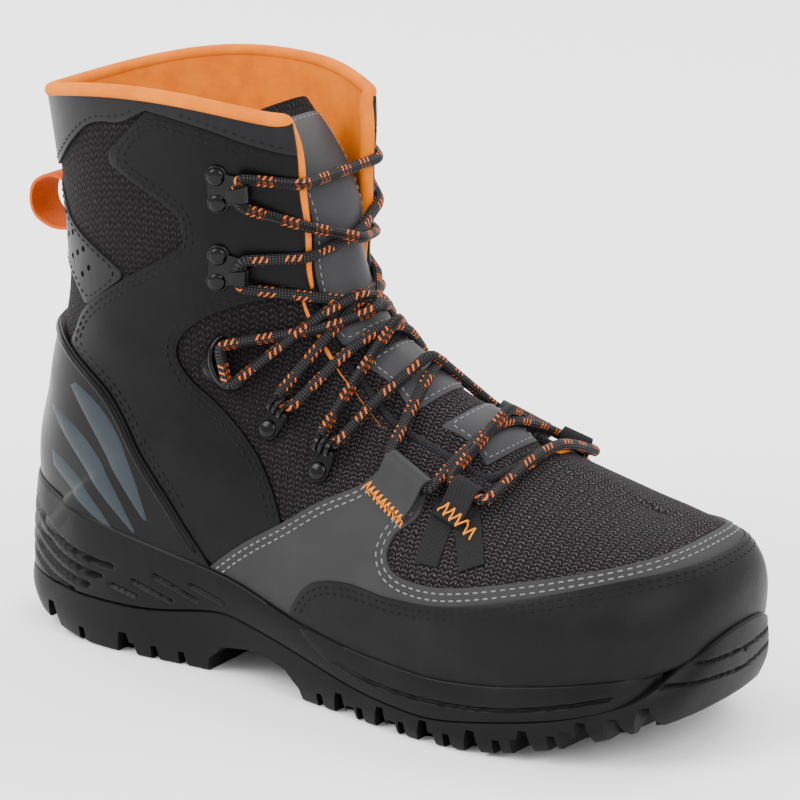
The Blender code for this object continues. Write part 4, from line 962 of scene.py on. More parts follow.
rim_loop = skin_loops[-1]
rim_start = min(range(len(rim_loop)), key=lambda i: SKIN[rim_loop[i]][2])
rim_loop = rim_loop[rim_start:] + rim_loop[:rim_start]
rim_ahead = np.roll(SKIN[rim_loop], -1, axis=0) - np.roll(SKIN[rim_loop], 1, axis=0)
rim_off = unit(round_smoothed(np.cross(rim_ahead, SKIN_NORMALS[rim_loop]), 3))
rim = SKIN[rim_loop]
on_throat = round_smoothed(((rim[:, 2] < 209 * MM) & (rim[:, 0] > 60 * MM)).astype(float), 5)[:, None]
rim_line = rim + (1 - on_throat) * (rim_off * 1.2 * MM - SKIN_NORMALS[rim_loop] * 0.5 * MM)
rim_line += on_throat * (SKIN_NORMALS[rim_loop] * 2.0 * MM - rim_off * 2.2 * MM)
above = rim_line[:, 2] > ROLL_ENDS
first = int(np.argmax(above))
last = len(above) - int(np.argmax(above[::-1]))
roll_line = softened(walked_out(rim_line[first:last], 1.6 * MM), 4)
low_line = np.concatenate([rim_line[last - 2:], rim_line[:first + 2]])
low_line = softened(walked_out(low_line, 1.6 * MM), 4)
taper = np.minimum(np.arange(len(roll_line)), np.arange(len(roll_line))[::-1])
roll_size = ROLL * (0.45 + 0.55 * np.clip(taper / 10.0, 0, 1) ** 0.5)
roll = gathered("lining_roll", [tube(roll_line, roll_size, 14)])
finish_piece(roll, "upper_lining", ORANGE_LINING)
binding_cloth = knitted(
    "throat binding", (0.004, 0.0035, 0.004), (0.05, 0.045, 0.05), 1.3 * MM, 1.0 * MM, 0.2 * MM
)
finish_piece(gathered("throat_binding", [tube(low_line, BINDING, 10)]), "upper_lining", binding_cloth)


# The footbed
# Foam sheet under brushed cloth, laid loose inside on the board.
brushed_black = brushed("brushed footbed", (0.02, 0.02, 0.021), (0.05, 0.028, 0.012))
board = FOOT[:, 2]
bed_rings = [ring(-inward * MM, board + up * MM) for inward, up in ((3.9, 0.2), (3.9, 2.4), (5.0, 3.4))]
finish_piece(ring_band("footbed", bed_rings, capped=True), "footbed", brushed_black, "insole")


# The tongue
# Padded knit flap lined in orange, with four pads of grey coated leather sewn down its middle.
TONGUE_WALL = 5.0 * MM
PADS = (
    # millimetres down the tongue: first and last, half width at each, and how far its sides are hollowed
    (13.0, 95.0, 18.5, 16.0, 1.5),
    (103.0, 130.0, 16.5, 17.5, 2.0),
    (140.0, 162.0, 17.0, 17.5, 2.0),
    (170.5, 187.0, 16.0, 13.0, 1.0),
)
tongue_form = smoothed_through(outer_skin("tongue", Vector((0.757, 0, 0.653))), 3)
TONGUE = points_of(tongue_form.data)
TONGUE_FACES = [tuple(p.vertices) for p in tongue_form.data.polygons]
TONGUE_EDGES = np.array([e.vertices[:] for e in tongue_form.data.edges])
TONGUE_NORMALS = np.array([v.normal[:] for v in tongue_form.data.vertices])
bpy.data.objects.remove(tongue_form)
TONGUE_FORM = (TONGUE, TONGUE_NORMALS, TONGUE_FACES, TONGUE_EDGES)
down_tongue = ((TONGUE[:, 0] - 0.060) * 0.653 - (TONGUE[:, 2] - 0.217) * 0.757) / MM
rounding = 12.0 - np.sqrt(np.clip(144.0 - np.clip(18.4 - down_tongue, 0, 12) ** 2, 0, None))
kept = np.where(down_tongue < 18.4, 29.0 - rounding - np.abs(TONGUE[:, 1] / MM), 9.0) * MM
kept = np.minimum(kept, (down_tongue - 6.4) * MM)
tongue_points, tongue_normals, tongue_faces, _ = cut_from_form(kept, TONGUE_FORM)
tongue, _ = shell_between("tongue_knit", tongue_points, tongue_normals, tongue_faces, -TONGUE_WALL, 0.0)
finish_piece(tongue, "tongue_fabric", BLACK_KNIT, "tongue")
tongue.data.materials.append(ORANGE_LINING)
for polygon in tongue.data.polygons[len(tongue_faces):2 * len(tongue_faces)]:
    polygon.material_index = 1
tongue_pad = coated("tongue pad", (0.030, 0.0295, 0.0315), (0.041, 0.040, 0.0425), (0.42, 0.56), 0.09, 2000.0)
pad_values = []
for k, (first, last, wide_first, wide_last, hollow) in enumerate(PADS):
    share = np.clip((down_tongue - first) / (last - first), 0, 1)
    half = wide_first + (wide_last - wide_first) * share - hollow * np.sin(math.pi * share)
    ends = np.minimum(down_tongue - first, last - down_tongue)
    value = np.minimum(ends, half - np.abs(TONGUE[:, 1] / MM)) * MM
    pad_values.append(value)
    piece = panel("tongue_pad_" + str(k + 1), value, 0.5 * MM, -0.6 * MM, 0.35 * MM, TONGUE_FORM, 0.9 * MM)
    finish_piece(piece, "tongue_fabric", tongue_pad)


# The eyelets
# Lacing hardware up each edge of the throat, from the toe: webbing loops, folded leather tunnels, two riveted
# D-rings, a locking hook and two speed hooks. All metal is enamelled glossy black.
EYELETS = (
    # CAD node, kind, how far its plate runs back from the lace, the lace's middle on it, turn in degrees
    ("loop_low", "loop", 16.0, 0.0, 3.6, -10.0),
    ("loop_high", "tunnel", 16.0, 0.0, 3.6, -18.0),
    ("ring_low", "ring", 12.0, 4.0, 4.2, 0.0),
    ("ring_high", "ring", 12.0, 4.0, 4.2, 0.0),
    ("lock_hook", "lock", 10.0, 0.0, 4.1, 0.0),
    ("hook_low", "hook", 10.0, 3.0, 4.1, 0.0),
    ("hook_high", "hook", 10.0, 3.0, 4.1, 0.0),
)
HALF_WIDTH = {"loop": 6.5, "tunnel": 9.0, "ring": 1.1, "lock": 5.5, "hook": 3.0}
LACE = 2.1 * MM


def eyelet_place(index, side):
    """Where an eyelet sits: x towards the throat, y up along it, z out of the leather."""
    middles = []
    for other in EYELETS:
        corners = points_of(frame["nodes"][other[0] + "_" + side].data)
        middles.append(Vector((corners.min(axis=0) + corners.max(axis=0)) / 2))
    corners = points_of(frame["nodes"][EYELETS[index][0] + "_" + side].data)
    spot, normal, _, _ = SKIN_TREE.find_nearest(middles[index])
    along = middles[min(index + 1, len(EYELETS) - 1)] - middles[max(index - 1, 0)]
    y_axis = (along - normal * along.dot(normal)).normalized()
    x_axis = y_axis.cross(normal).normalized()
    if x_axis.y * middles[index].y > 0:
        x_axis = -x_axis
    local = np.array([[(Vector(c) - spot).dot(axis) for axis in (x_axis, y_axis, normal)] for c in corners])
    start = spot + x_axis * (local[:, 0].min() + EYELETS[index][2] * MM)
    start += y_axis * (local[:, 1].min() + local[:, 1].max()) / 2
    spot, normal, _, _ = SKIN_TREE.find_nearest(start)
    place = Matrix.Identity(4)
    for k, axis in enumerate((x_axis, y_axis, normal)):
        place.col[k][:3] = axis
    place.translation = spot + normal * (LEATHER + 0.3 * MM)
    return place @ Matrix.Rotation(math.radians(EYELETS[index][5]), 4, "Z")


def placed(shape, place):
    points, faces, places = shape
    matrix = np.array(place)
    return points @ matrix[:3, :3].T + matrix[:3, 3], faces, places


def strap(path, widths, thickness, ends=True):
    """A flat band along a line of x and z, as wide along y as each of its points says. Millimetres."""
    path = np.array(path, float)
    widths = np.broadcast_to(np.asarray(widths, float), (len(path),))
    ahead = unit(np.gradient(path, axis=0))
    out = np.stack([-ahead[:, 1], ahead[:, 0]], 1)
    half = thickness / 2
    under = ((-1, -0.55), (-0.93, -1), (-0.5, -1), (0, -1), (0.5, -1), (0.93, -1), (1, -0.55))
    section = under + tuple((-y, -up) for y, up in under)
    run = lengths_along(path)
    points, places = [], []
    for (x, z), (ox, oz), width, at in zip(path, out, widths, run):
        for y, up in section:
            edge = min(1.0, thickness / max(width, thickness))
            across = y * width / 2 if abs(y) <= 0.5 else math.copysign(width / 2 - (1 - abs(y)) * half * 2.4, y)
            points.append((x + ox * up * half, across, z + oz * up * half))
            places.append((at * MM, across * MM))
    faces = grid_faces(len(path), len(section)) + end_faces(len(path), len(section))
    return np.array(points) * MM, faces, np.array(places)


def turned(profile, x, y, sides=20):
    """A round shape on a profile of radius and height, standing at a place on the leather. Millimetres."""
    points = []
    for radius, height in profile:
        for k in range(sides):
            turn = 2 * math.pi * k / sides
            points.append((x + radius * math.cos(turn), y + radius * math.sin(turn), height))
    points = np.array(points) * MM
    faces = grid_faces(len(profile), sides) + end_faces(len(profile), sides)
    return points, faces, points[:, :2].copy()


def arc(middle, radius, first, last, steps):
    """Points on an arc, turned from one angle to another in degrees."""
    turns = np.radians(np.linspace(first, last, steps))
    return [(middle[0] + radius * math.cos(t), middle[1] + radius * math.sin(t)) for t in turns]


WASHER = ((4.3, -0.4), (4.3, 0.35), (4.0, 0.65), (3.55, 0.75))
DOME = ((3.5, 0.4), (3.45, 1.05), (3.1, 1.6), (2.4, 2.0), (1.4, 2.25), (0.4, 2.32))
black_metal, metal_at = surface("black enamelled metal", (0.002, 0.002, 0.0022), 0.14, 0.16)
roughened(black_metal, noise(black_metal, metal_at, 700.0, 4.0), 0.09, 0.2)
bumped(black_metal, noise(black_metal, metal_at, 420.0, 2.0), 0.06 * MM, 0.3)


def woven(name, color, gloss, pitches, shares, light, depth):
    """Webbing woven in ribs, which follow the band's own unrolled places."""
    made, _ = surface(name, color, *gloss)
    places = add(made, "ShaderNodeUVMap", {}, uv_map="unrolled").outputs["UV"]
    split = add(made, "ShaderNodeSeparateXYZ", {0: places})
    waves = []
    for place, pitch in zip(split.outputs, pitches):
        waves.append(counted(made, "SINE", counted(made, "MULTIPLY", place, 2 * math.pi / (pitch * MM))))
    weave = counted(made, "MULTIPLY", *waves)
    tinted(made, eased(made, weave, *shares), light)
    bumped(made, weave, depth * MM)
    return made


def thread_of(name, color, roughness, specular, grain=4000.0):
    made, at = surface(name, color, roughness, specular)
    bumped(made, noise(made, at, grain, 2.0), 0.05 * MM, 0.6)
    return made


black_webbing = woven(
    "black webbing", (0.003, 0.003, 0.0032), (0.8, 0.1), (0.9, 0.7), (-0.2, 0.8), (0.035, 0.033, 0.035), 0.12
)
orange_thread = thread_of("orange thread", (0.64, 0.19, 0.0), 0.55, 0.15, 3500.0)


def plate_along(points, shares, widths, thickness=1.0):
    """A bent metal plate along a line, with its width given at shares of its length."""
    path = drawn(points, 0.8)
    return strap(path, np.interp(np.linspace(0, 1, len(path)), shares, widths), thickness)


def hook_parts():
    parts = [turned(shape, -5.5, y) for y in (5.0, -5.0) for shape in (WASHER, DOME)]
    plate = [(-9.0, 0.35), (-6.0, 0.45), (-3.0, 0.55), (0.0, 0.55), (3.0, 0.6)]
    nose = arc((3.0, 4.0), 3.9, -85, 95, 14)
    tip = [(1.4, 7.7), (-0.6, 7.0)]
    shares = (0, 0.15, 0.4, 0.62, 0.85, 0.96, 1)
    return parts + [plate_along(plate + nose + tip, shares, (9.5, 13, 9.0, 6.6, 5.6, 4.6, 2.6), 1.2)]


def ring_parts():
    parts = [turned(WASHER, -7.5, 0.0), turned(DOME, -7.5, 0.0)]
    for y in (-2.6, 2.6):
        fold = [(-7.5, 0.4), (-3.0, 0.5), (0.2, 0.9)] + arc((2.0, 4.2), 3.1, -110, 150, 16)
        points, faces, places = strap(drawn(fold, 0.8), 1.7, 1.3)
        parts.append((points + np.array([0, y * MM, 0]), faces, places))
    plate = [(-11.5, 0.35), (-7.5, 0.45), (-3.0, 0.5), (0.6, 0.75)]
    parts.append(plate_along(plate, (0, 0.3, 1), (4, 9, 7.6)))
    bar = [(x, 0.0, z) for x, z in arc((2.6, 4.4), 3.4, -150, 175, 30)]
    return parts + [tube(np.array(bar) * MM, 0.95 * MM, 10)]


def lock_parts():
    """A crescent that holds the lace in its lower horn, on a plate with one rivet."""
    parts = [turned(WASHER, -6.5, 0.0), turned(DOME, -6.5, 0.0)]
    horn = [(x, y) for x, y in arc((3.5, 1.5), 10.0, 100, 292, 34)]
    rise = np.interp(np.linspace(0, 1, 34), (0, 0.2, 0.8, 1), (0.8, 2.4, 3.4, 2.6))
    crescent = np.array([(x * 0.8, y, z) for (x, y), z in zip(horn, rise)]) * MM
    size = np.interp(np.linspace(0, 1, 34), (0, 0.25, 0.7, 1), (1.0, 2.3, 2.2, 0.9)) * MM
    parts.append(tube(crescent, size, 14, flat=0.62))
    inner = np.array([(x * 0.62 + 1.2, y * 0.72, 1.0) for x, y in horn]) * MM
    parts.append(tube(inner, size * 0.8, 12, flat=0.6))
    plate = [(-10.5, 0.35), (-6.5, 0.5), (-2.0, 0.6)]
    return parts + [plate_along(plate, (0, 0.4, 1), (5, 10, 13))]


def fold_parts(width, foot, thick):
    """A flat loop of webbing or leather: two layers sewn down, open round the lace."""
    path = [(-foot, 0.35), (-0.6 * foot, 0.4), (-3.2, 0.45)] + arc((0.0, 3.6), 3.3, -100, 118, 18)
    path += [(-3.6, 5.0), (-0.45 * foot - 1, 2.9), (-0.75 * foot, 1.75), (-foot, 1.5)]
    return [strap(drawn(path, 0.9), width, thick)]


PLACES = {}
for index, (name, kind, *_) in enumerate(EYELETS):
    for side in ("lateral", "medial"):
        PLACES[name, side] = eyelet_place(index, side)
        place = PLACES[name, side]
        if kind == "loop":
            parts, material, slot = fold_parts(11.5, 13.0, 0.95), black_webbing, "eyelet_webbing"
        elif kind == "tunnel":
            parts, material, slot = fold_parts(20.0, 14.0, 1.2), grey_nubuck, "overlay_grey"
        else:
            parts = {"ring": ring_parts, "lock": lock_parts, "hook": hook_parts}[kind]()
            material, slot = black_metal, "eyelet_metal"
        piece = gathered(name + "_" + side + "_fitting", [placed(part, place) for part in parts])
        finish_piece(piece, slot, material, name + "_" + side, smooth_angle=50)


# The lace
# One round braided cord, black with groups of orange flecks, crossed over the tongue between the eyelets.
TONGUE_TREE = tree_of(TONGUE, TONGUE_FACES)
CLEAR = LACE + 1.2 * MM
BRAID_STRANDS = 6
BRAID_PITCH = 2.3 * MM
FLECK_GROUP = 13 * MM
FLECK_PITCH = 2.4 * MM


def outermost(point, way):
    """How far out along a direction the boot's surface lies from a point inside it."""
    best = -1.0
    start = Vector(point + way * 60 * MM)
    for tree in (TONGUE_TREE, SKIN_TREE):
        hit = tree.ray_cast(start, Vector(-way), 0.09)
        if hit[0]:
            best = max(best, 60 * MM - hit[3])
    return best


def taut(first, last, way, over):
    """A cord drawn tight from one point to another over the boot, lifted where it crosses over another."""
    chord = last - first
    way = way - chord * (way @ chord) / (chord @ chord)
    way /= np.linalg.norm(way)
    shares = np.linspace(0, 1, 61)
    heights = np.array([outermost(first + chord * t, way) + CLEAR if 0.06 < t < 0.94 else 0.0 for t in shares])
    heights = np.clip(heights, 0.0, 40 * MM)
    if over:
        crossing = np.abs(shares - 0.5) < 0.03
        heights[crossing] += 2.0 * LACE
    hull = [0]
    for i in range(1, len(shares)):
        while len(hull) > 1:
            a, b = hull[-2], hull[-1]
            before = (heights[b] - heights[a]) * (shares[i] - shares[a])
            if before <= (heights[i] - heights[a]) * (shares[b] - shares[a]):
                hull.pop()
            else:
                break
        hull.append(i)
    taut_heights = np.interp(shares, shares[hull], heights[hull])
    return first + chord * shares[:, None] + way * taut_heights[:, None]


def stops(index, side):
    """Where the lace enters and leaves an eyelet, and the way out of the leather there."""
    name, kind, _, lace_x, lace_z, _ = EYELETS[index]
    place = PLACES[name, side]
    half = HALF_WIDTH[kind] + 2.4
    front = np.array(place @ Vector((lace_x * MM, -half * MM, lace_z * MM)))
    rear = np.array(place @ Vector((lace_x * MM, half * MM, lace_z * MM)))
    return front, rear, np.array(place.col[2][:3])


def laced(side):
    """One half of the lace, from the lowest eyelet to the highest, changing sides at each."""
    other = {"lateral": "medial", "medial": "lateral"}
    line = []
    for index in range(len(EYELETS)):
        front, rear, out = stops(index, side)
        line.append(np.stack([front, 0.5 * (front + rear), rear]))
        if index + 1 < len(EYELETS):
            over = (side == "lateral") == (index % 2 == 0)
            front, _, other_out = stops(index + 1, other[side])
            line.append(taut(rear, front, out + other_out, over)[2:-2])
            side = other[side]
    return np.concatenate(line)


bar_start, _, medial_out = stops(0, "medial")
bar_end, _, lateral_out = stops(0, "lateral")
bar = taut(bar_start, bar_end, medial_out + lateral_out, False)
lateral_half = np.concatenate([bar[:-2], laced("lateral")])
_, top_start, start_out = stops(len(EYELETS) - 1, "lateral")
_, top_end, end_out = stops(len(EYELETS) - 1, "medial")
top_bar = taut(top_start, top_end, start_out + end_out, False)
medial_half = np.concatenate([bar[:1] + 0.2 * (bar[:1] - bar[3:4]), laced("medial")])
if np.linalg.norm(lateral_half[-1] - top_start) < np.linalg.norm(lateral_half[-1] - top_end):
    lateral_half = np.concatenate([lateral_half, top_bar[2:]])
else:
    lateral_half = np.concatenate([lateral_half, top_bar[::-1][2:]])
lace_parts = [tube(softened(walked_out(half, 1.1 * MM), 4), LACE, 10) for half in (lateral_half, medial_half)]
lace = gathered("lace_cord", lace_parts)
lace_cord, _ = surface("fleck braid", (0.0035, 0.0032, 0.0035), 0.65, 0.15)
places = add(lace_cord, "ShaderNodeUVMap", {}, uv_map="unrolled").outputs["UV"]
split = add(lace_cord, "ShaderNodeSeparateXYZ", {0: places})
turns_round = counted(lace_cord, "MULTIPLY", split.outputs[1], 2 * math.pi * BRAID_STRANDS)
runs_along = counted(lace_cord, "MULTIPLY", split.outputs[0], 2 * math.pi / BRAID_PITCH)
one_way = counted(lace_cord, "SINE", counted(lace_cord, "ADD", runs_along, turns_round))
other_way = counted(lace_cord, "SINE", counted(lace_cord, "SUBTRACT", runs_along, turns_round))
braid = counted(lace_cord, "MULTIPLY", one_way, other_way)
tinted(lace_cord, eased(lace_cord, braid, 0.0, 0.9, 0.0, 0.9), (0.045, 0.04, 0.042))
group = counted(lace_cord, "FRACT", counted(lace_cord, "DIVIDE", split.outputs[0], FLECK_GROUP))
in_group = eased(lace_cord, group, 0.50, 0.52, 1.0, 0.0)
thirds = counted(lace_cord, "MULTIPLY", split.outputs[1], 3.0)
slant = counted(lace_cord, "ADD", counted(lace_cord, "DIVIDE", split.outputs[0], FLECK_PITCH), thirds)
fleck = eased(lace_cord, counted(lace_cord, "FRACT", slant), 0.28, 0.34, 1.0, 0.0)
around = eased(lace_cord, counted(lace_cord, "FRACT", thirds), 0.55, 0.6, 1.0, 0.0)
flecks = counted(lace_cord, "MULTIPLY", counted(lace_cord, "MULTIPLY", in_group, fleck), around)
tinted(lace_cord, flecks, (0.62, 0.11, 0.004))
bumped(lace_cord, braid, 0.22 * MM)
finish_piece(lace, "lace_cord", lace_cord, "lace", smooth_angle=60)


# The pull loop
# Orange webbing folded into a ring and sewn flat to the back seam.
PULL_PATH = (
    # side view: both ends run into the shaft's wall
    (-28.5, 170.5), (-37.0, 172.8), (-43.0, 171.6), (-47.6, 167.8), (-48.8, 161.6),
    (-46.8, 156.4), (-41.2, 153.2), (-35.5, 152.4), (-26.8, 153.4),
)
orange_webbing = woven(
    "orange webbing", (0.52, 0.065, 0.0), (0.7, 0.08), (1.0, 1.3), (-0.2, 0.9, 0.0, 0.6),
    (0.66, 0.125, 0.0), 0.15
)
pull = gathered("pull_webbing", [strap(drawn(PULL_PATH, 1.2), 17.0, 1.3)])
finish_piece(pull, "loop_webbing", orange_webbing, "pull_loop")


# The counter's ridge and insets
# A raised piping moulded along the counter's front edge, and three pale leaf-shaped insets set into the shell.
LEAVES = (
    # side view: a leaf's back tip, its front tip, how far its back and front edges bow, in millimetres
    ((-13.0, 104.0), (31.0, 51.0), -1.0, 9.5),
    ((-26.0, 90.0), (25.0, 46.5), -1.0, 8.5),
    ((-34.0, 72.0), (16.0, 44.5), -0.5, 7.0),
)


def isolines(value, form, keep=None):
    """Lines on a form along which a value is nought, each as places and normals."""
    points, normals, faces, _ = form
    crossings, links = {}, {}
    for face in faces:
        found = []
        for a, b in zip(face, face[1:] + face[:1]):
            if (value[a] > 0) != (value[b] > 0):
                key = (min(a, b), max(a, b))
                if key not in crossings:
                    share = value[key[0]] / (value[key[0]] - value[key[1]])
                    place = points[key[0]] + share * (points[key[1]] - points[key[0]])
                    lean = normals[key[0]] + share * (normals[key[1]] - normals[key[0]])
                    crossings[key] = (place, lean / np.linalg.norm(lean))
                found.append(key)
        if len(found) == 2 and (keep is None or all(keep(crossings[key][0]) for key in found)):
            links.setdefault(found[0], []).append(found[1])
            links.setdefault(found[1], []).append(found[0])
    lines = []
    while links:
        ends = [key for key, others in links.items() if len(others) == 1]
        start = ends[0] if ends else next(iter(links))
        line = [start]
        while links.get(line[-1]):
            following = links[line[-1]].pop()
            links[following].remove(line[-1])
            if not links[line[-1]]:
                del links[line[-1]]
            line.append(following)
        links.pop(line[-1], None)
        if len(line) > 3:
            lines.append(np.array([np.concatenate(crossings[key]) for key in line]))
    return lines


def beside(border, distance, value, form, keep=None):
    """Lines on a form at a distance from a border, on the side where a value is above nought."""
    tree = KDTree(len(border))
    for i, point in enumerate(border):
        tree.insert(Vector(point), i)
    tree.balance()
    points = form[0]
    near = np.ones(len(points))
    for i in np.flatnonzero(np.abs(value) < 4 * distance + 0.01):
        near[i] = tree.find(Vector(points[i]))[2]
    return isolines(np.where(value > 0, near, -near) - distance, form, keep)


def border_of(value, form, keep=None):
    lines = isolines(value, form, keep)
    return np.concatenate([walked_out(line[:, :3], 0.6 * MM) for line in lines])


def sewn(lines, pitch, length, thread, lift, slack=0.25):
    """Stitches along lines: short threads that dip into the leather at both ends. Millimetres."""
    parts = []
    for line in lines:
        even = walked_out(np.stack([softened(line[:, k:k + 1], 3)[:, 0] for k in range(6)], 1), 0.5 * MM)
        step = int(round(pitch / 0.5))
        reach = int(round(length / 0.5))
        for i in range(0, len(even) - reach, step):
            first, last = even[i], even[i + reach]
            middle = even[i + reach // 2]
            places = [
                first[:3] + first[3:] * (lift - 1.1 * thread) * MM,
                first[:3] * 0.82 + last[:3] * 0.18 + middle[3:] * (lift + slack * thread) * MM,
                first[:3] * 0.18 + last[:3] * 0.82 + middle[3:] * (lift + slack * thread) * MM,
                last[:3] + last[3:] * (lift - 1.1 * thread) * MM,
            ]
            parts.append(tube(places, thread * MM, 5, round_ends=False))
    return parts


back_line = border_of(behind_counter, LASTED, lambda p: p[2] > 40 * MM)
ridge_parts = []
for line in beside(back_line, 2.6 * MM, behind_counter, LASTED, lambda p: p[2] > 46 * MM):
    path = softened(walked_out(line[:, :3] + line[:, 3:] * (COUNTER - 0.2 * MM), 1.5 * MM), 5)
    ridge_parts.append(tube(path, 1.5 * MM, 12))
finish_piece(gathered("counter_ridge", ridge_parts), "counter_rubber", counter_rubber)
leaf_rubber = coated("blue grey rubber", (0.020, 0.026, 0.031), (0.030, 0.037, 0.043), (0.36, 0.48), 0.1)
for k, (back_tip, front_tip, back_bow, front_bow) in enumerate(LEAVES):
    back_tip, front_tip = np.array(back_tip), np.array(front_tip)
    square = np.array([front_tip[1] - back_tip[1], back_tip[0] - front_tip[0]])
    square = square / -np.linalg.norm(square)
    turn = np.linspace(0, 1, 24)[:, None]
    bow = np.sin(math.pi * turn ** 0.8)
    upper_side = back_tip + (front_tip - back_tip) * turn + square * bow * front_bow
    lower_side = back_tip + (front_tip - back_tip) * turn + square * bow * back_bow
    leaf_outline = np.concatenate([upper_side, lower_side[::-1]]) * MM
    in_leaf = inside(SKIN, leaf_outline)
    for side, half in (("lateral", LATERAL), ("medial", ~LATERAL)):
        value = np.where(half, in_leaf, -FAR)
        name = "leaf_" + side + "_" + str(k + 1)
        leaf = panel(name, value, COUNTER + 0.1 * MM, width=0.3 * MM, swell=0.5 * MM)
        finish_piece(leaf, "counter_rubber", leaf_rubber)


# The heel patch's holes
# Eleven punched vents in the grey patch on each side of the heel, each a near-black disc laid on the patch: the
# black layer below with painted shade of the hole's depth.
HOLES = (
    # side view: three rows, each along the patch's top edge
    (-27, 169), (-20, 164.5), (-12.5, 158.5), (-4.5, 154),
    (-25, 162), (-17, 156.5), (-9, 151.5), (-1, 147.5),
    (-21.5, 154), (-13.5, 149), (-5.5, 144),
)
VENT = ((1.15, -0.3), (1.15, 0.02), (1.0, 0.05), (0.0, 0.05))
# Painted shade: the discs are darker than the black knit and have almost no gloss, for the shade inside each
# hole.
painted_vent_shade, hole_at = surface("vent", (0.0015, 0.0015, 0.0015), 0.9, 0.02)
bumped(painted_vent_shade, noise(painted_vent_shade, hole_at, 2500.0), 0.1 * MM)
patch_tree = tree_of(points_of(patch.data), [tuple(p.vertices) for p in patch.data.polygons])
hole_parts = []
for x, z in HOLES:
    for y in (-0.2, 0.2):
        spot, normal, _, _ = patch_tree.ray_cast(Vector((x * MM, y, z * MM)), Vector((0, -y, 0)).normalized())
        turn = normal.to_track_quat("Z", "Y").to_matrix().to_4x4()
        place = Matrix.Translation(spot + normal * 0.03 * MM) @ turn
        hole_parts.append(placed(turned(VENT, 0, 0, 14), place))
finish_piece(gathered("patch_vents", hole_parts), "cuff_padding", painted_vent_shade)


# The seams
# Rows of stitches beside each sewn edge, two on the overlay, rand and quarters and one on the patch, cuff and
# tongue pads: black on black and on the dark grey leather, grey on the grey nubuck and pads.
thread_black = thread_of("black thread", (0.004, 0.004, 0.0042), 0.6, 0.12)
thread_grey = thread_of("grey thread", (0.13, 0.13, 0.135), 0.65, 0.15)


def seam(name, value, form, rows, lift, material, slot, keep=None, pitch=3.5, length=2.0, thread=0.34):
    border = border_of(value, form, keep)
    parts = []
    for distance in rows:
        lines = beside(border, distance * MM, value, form, keep)
        parts += sewn([line for line in lines if len(line) > 8], pitch, length, thread, lift)
    if parts:
        finish_piece(gathered(name, parts), slot, material, smooth_angle=70)


def above(height, side=None):
    """A rule that keeps what lies above a height, on one side of the boot or on both."""
    out = {None: 0, "lateral": -1, "medial": 1}[side]
    return lambda p: p[2] > height * MM and (side is None or p[1] * out > 2 * MM)


both_rows = (2.2, 4.6)
seam("overlay_seams", in_overlay, LASTED, both_rows, OVERLAY / MM, thread_grey, "overlay_grey", above(30))
seam("rand_seams", in_rand, LASTED, both_rows, RAND / MM, thread_black, "rand_rubber", above(34))
for side, half in (("lateral", LATERAL), ("medial", ~LATERAL)):
    value = np.where(half, in_quarter, -np.abs(in_quarter) - 0.001)
    name = "quarter_seams_" + side
    seam(name, value, LASTED, (2.0, 4.4), LEATHER / MM, thread_black, "quarter_black", above(62, side))
seam("patch_seams", inside(SKIN, patch_outline), LASTED, (1.8,), 0.9, thread_black, "cuff_padding",
     lambda p: p[0] > -34 * MM)
seam("cuff_seams", in_cuff, LASTED, (2.2,), LEATHER / MM, thread_black, "cuff_padding",
     lambda p: p[2] < 214 * MM)
for k, value in enumerate(pad_values):
    seam("pad_seams_" + str(k + 1), value, TONGUE_FORM, (1.9,), 1.0, thread_grey, "tongue_fabric",
         pitch=3.0, length=1.5, thread=0.3)


# The loop straps and bar tacks
# The lowest lace loops carry on as two webbing straps each, down to the toe's overlay, tacked in orange zigzag.
STRAPS = (
    # side view: from the loop down to the overlay
    ((160.0, 84.0), (160.5, 76.0), (160.0, 64.0)),
    ((166.0, 83.0), (172.0, 76.0), (179.0, 66.0)),
)
TACKS = (
    # side view: ends of each zigzag, its height and its number of teeth
    ((126.7, 84.9), (146.6, 75.2), 4.2, 10),
    ((160.0, 81.0), (175.0, 75.0), 4.6, 5),
)


def on_side(x, z, side):
    """The place and normal on the form at a point of the side view."""
    y = -0.2 if side == "lateral" else 0.2
    spot, normal, _, _ = SKIN_TREE.ray_cast(Vector((x * MM, y, z * MM)), Vector((0, -y, 0)).normalized())
    return np.array(spot), np.array(normal)


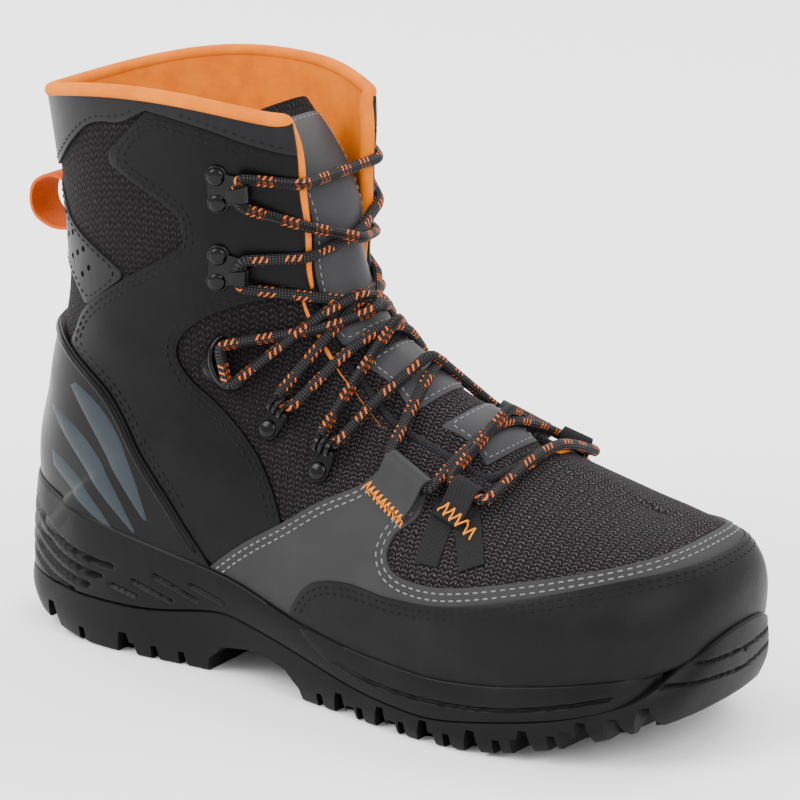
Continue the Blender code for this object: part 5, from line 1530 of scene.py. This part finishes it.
def laid(points, side, width, height, thick):
    """A flat strap laid over the form along a line of the side view."""
    line = np.array([np.concatenate(on_side(x, z, side)) for x, z in drawn(points, 1.5)])
    ahead = unit(np.gradient(line[:, :3], axis=0))
    across = np.cross(line[:, 3:], ahead)
    run = lengths_along(line)
    shares = np.linspace(-1, 1, 9)
    tops, bottoms, places = [], [], []
    for i, row in enumerate(line):
        for share in shares:
            near, normal, _, _ = SKIN_TREE.find_nearest(Vector(row[:3] + across[i] * share * width * MM / 2))
            edge = 0.35 if abs(share) == 1 else 0.0
            tops.append(np.array(near) + np.array(normal) * (height + thick - edge) * MM)
            bottoms.append(np.array(near) + np.array(normal) * (height - 0.3) * MM)
            places.append((run[i], share * width * MM / 2))
    count, rows = len(shares), len(line)
    faces = []
    for i in range(rows - 1):
        for k in range(count - 1):
            quad = (i * count + k, i * count + k + 1, (i + 1) * count + k + 1, (i + 1) * count + k)
            faces += [quad, tuple(j + rows * count for j in reversed(quad))]
    rim = [k for k in range(count)] + [i * count + count - 1 for i in range(1, rows)]
    rim += [(rows - 1) * count + k for k in range(count - 2, -1, -1)]
    rim += [i * count for i in range(rows - 2, 0, -1)]
    for a, b in zip(rim, rim[1:] + rim[:1]):
        faces.append((b, a, a + rows * count, b + rows * count))
    return np.array(tops + bottoms), faces, np.array(places + places)


strap_parts = [laid(points, side, 10.0, 0.2, 0.75) for points in STRAPS for side in ("lateral", "medial")]
finish_piece(gathered("loop_straps", strap_parts), "eyelet_webbing", black_webbing)
cover = []
for piece in bpy.data.objects:
    if piece.name.startswith(("overlay_nubuck", "loop_straps", "loop_low", "loop_high", "upper_knit")):
        cover.append(tree_of(points_of(piece.data), [tuple(p.vertices) for p in piece.data.polygons]))


def on_top(spot, normal):
    """The place over a spot of the form where a thread lies on the outermost piece there."""
    start = Vector(spot + normal * 14 * MM)
    hits = [tree.ray_cast(start, Vector(-normal), 0.03) for tree in cover]
    deep = min([hit[3] for hit in hits if hit[0]] + [14 * MM])
    return np.array(start) - normal * (deep - 0.25 * MM)


TACK_SHARES = (0.06, 0.25, 0.5, 0.75, 0.94)
tack_parts = []
for (x0, z0), (x1, z1), tall, teeth in TACKS:
    for side in ("lateral", "medial"):
        spots = []
        for k in range(2 * teeth + 1):
            share = k / (2 * teeth)
            base, normal = on_side(x0 + (x1 - x0) * share, z0 + (z1 - z0) * share, side)
            along, _ = on_side(x0 + (x1 - x0) * (share + 0.02), z0 + (z1 - z0) * (share + 0.02), side)
            across = np.cross(normal, along - base)
            across /= np.linalg.norm(across)
            spots.append(base + across * (tall / 2 if k % 2 else -tall / 2) * MM)
            if k:
                first, last = spots[-2:]
                thread = [on_top(first + (last - first) * part, normal) for part in TACK_SHARES]
                start, end = [on_top(spot, normal) - normal * 0.7 * MM for spot in (first, last)]
                tack_parts.append(tube([start, *thread, end], 0.36 * MM, 6, round_ends=False))
finish_piece(gathered("bar_tacks", tack_parts), "overlay_grey", orange_thread, smooth_angle=70)
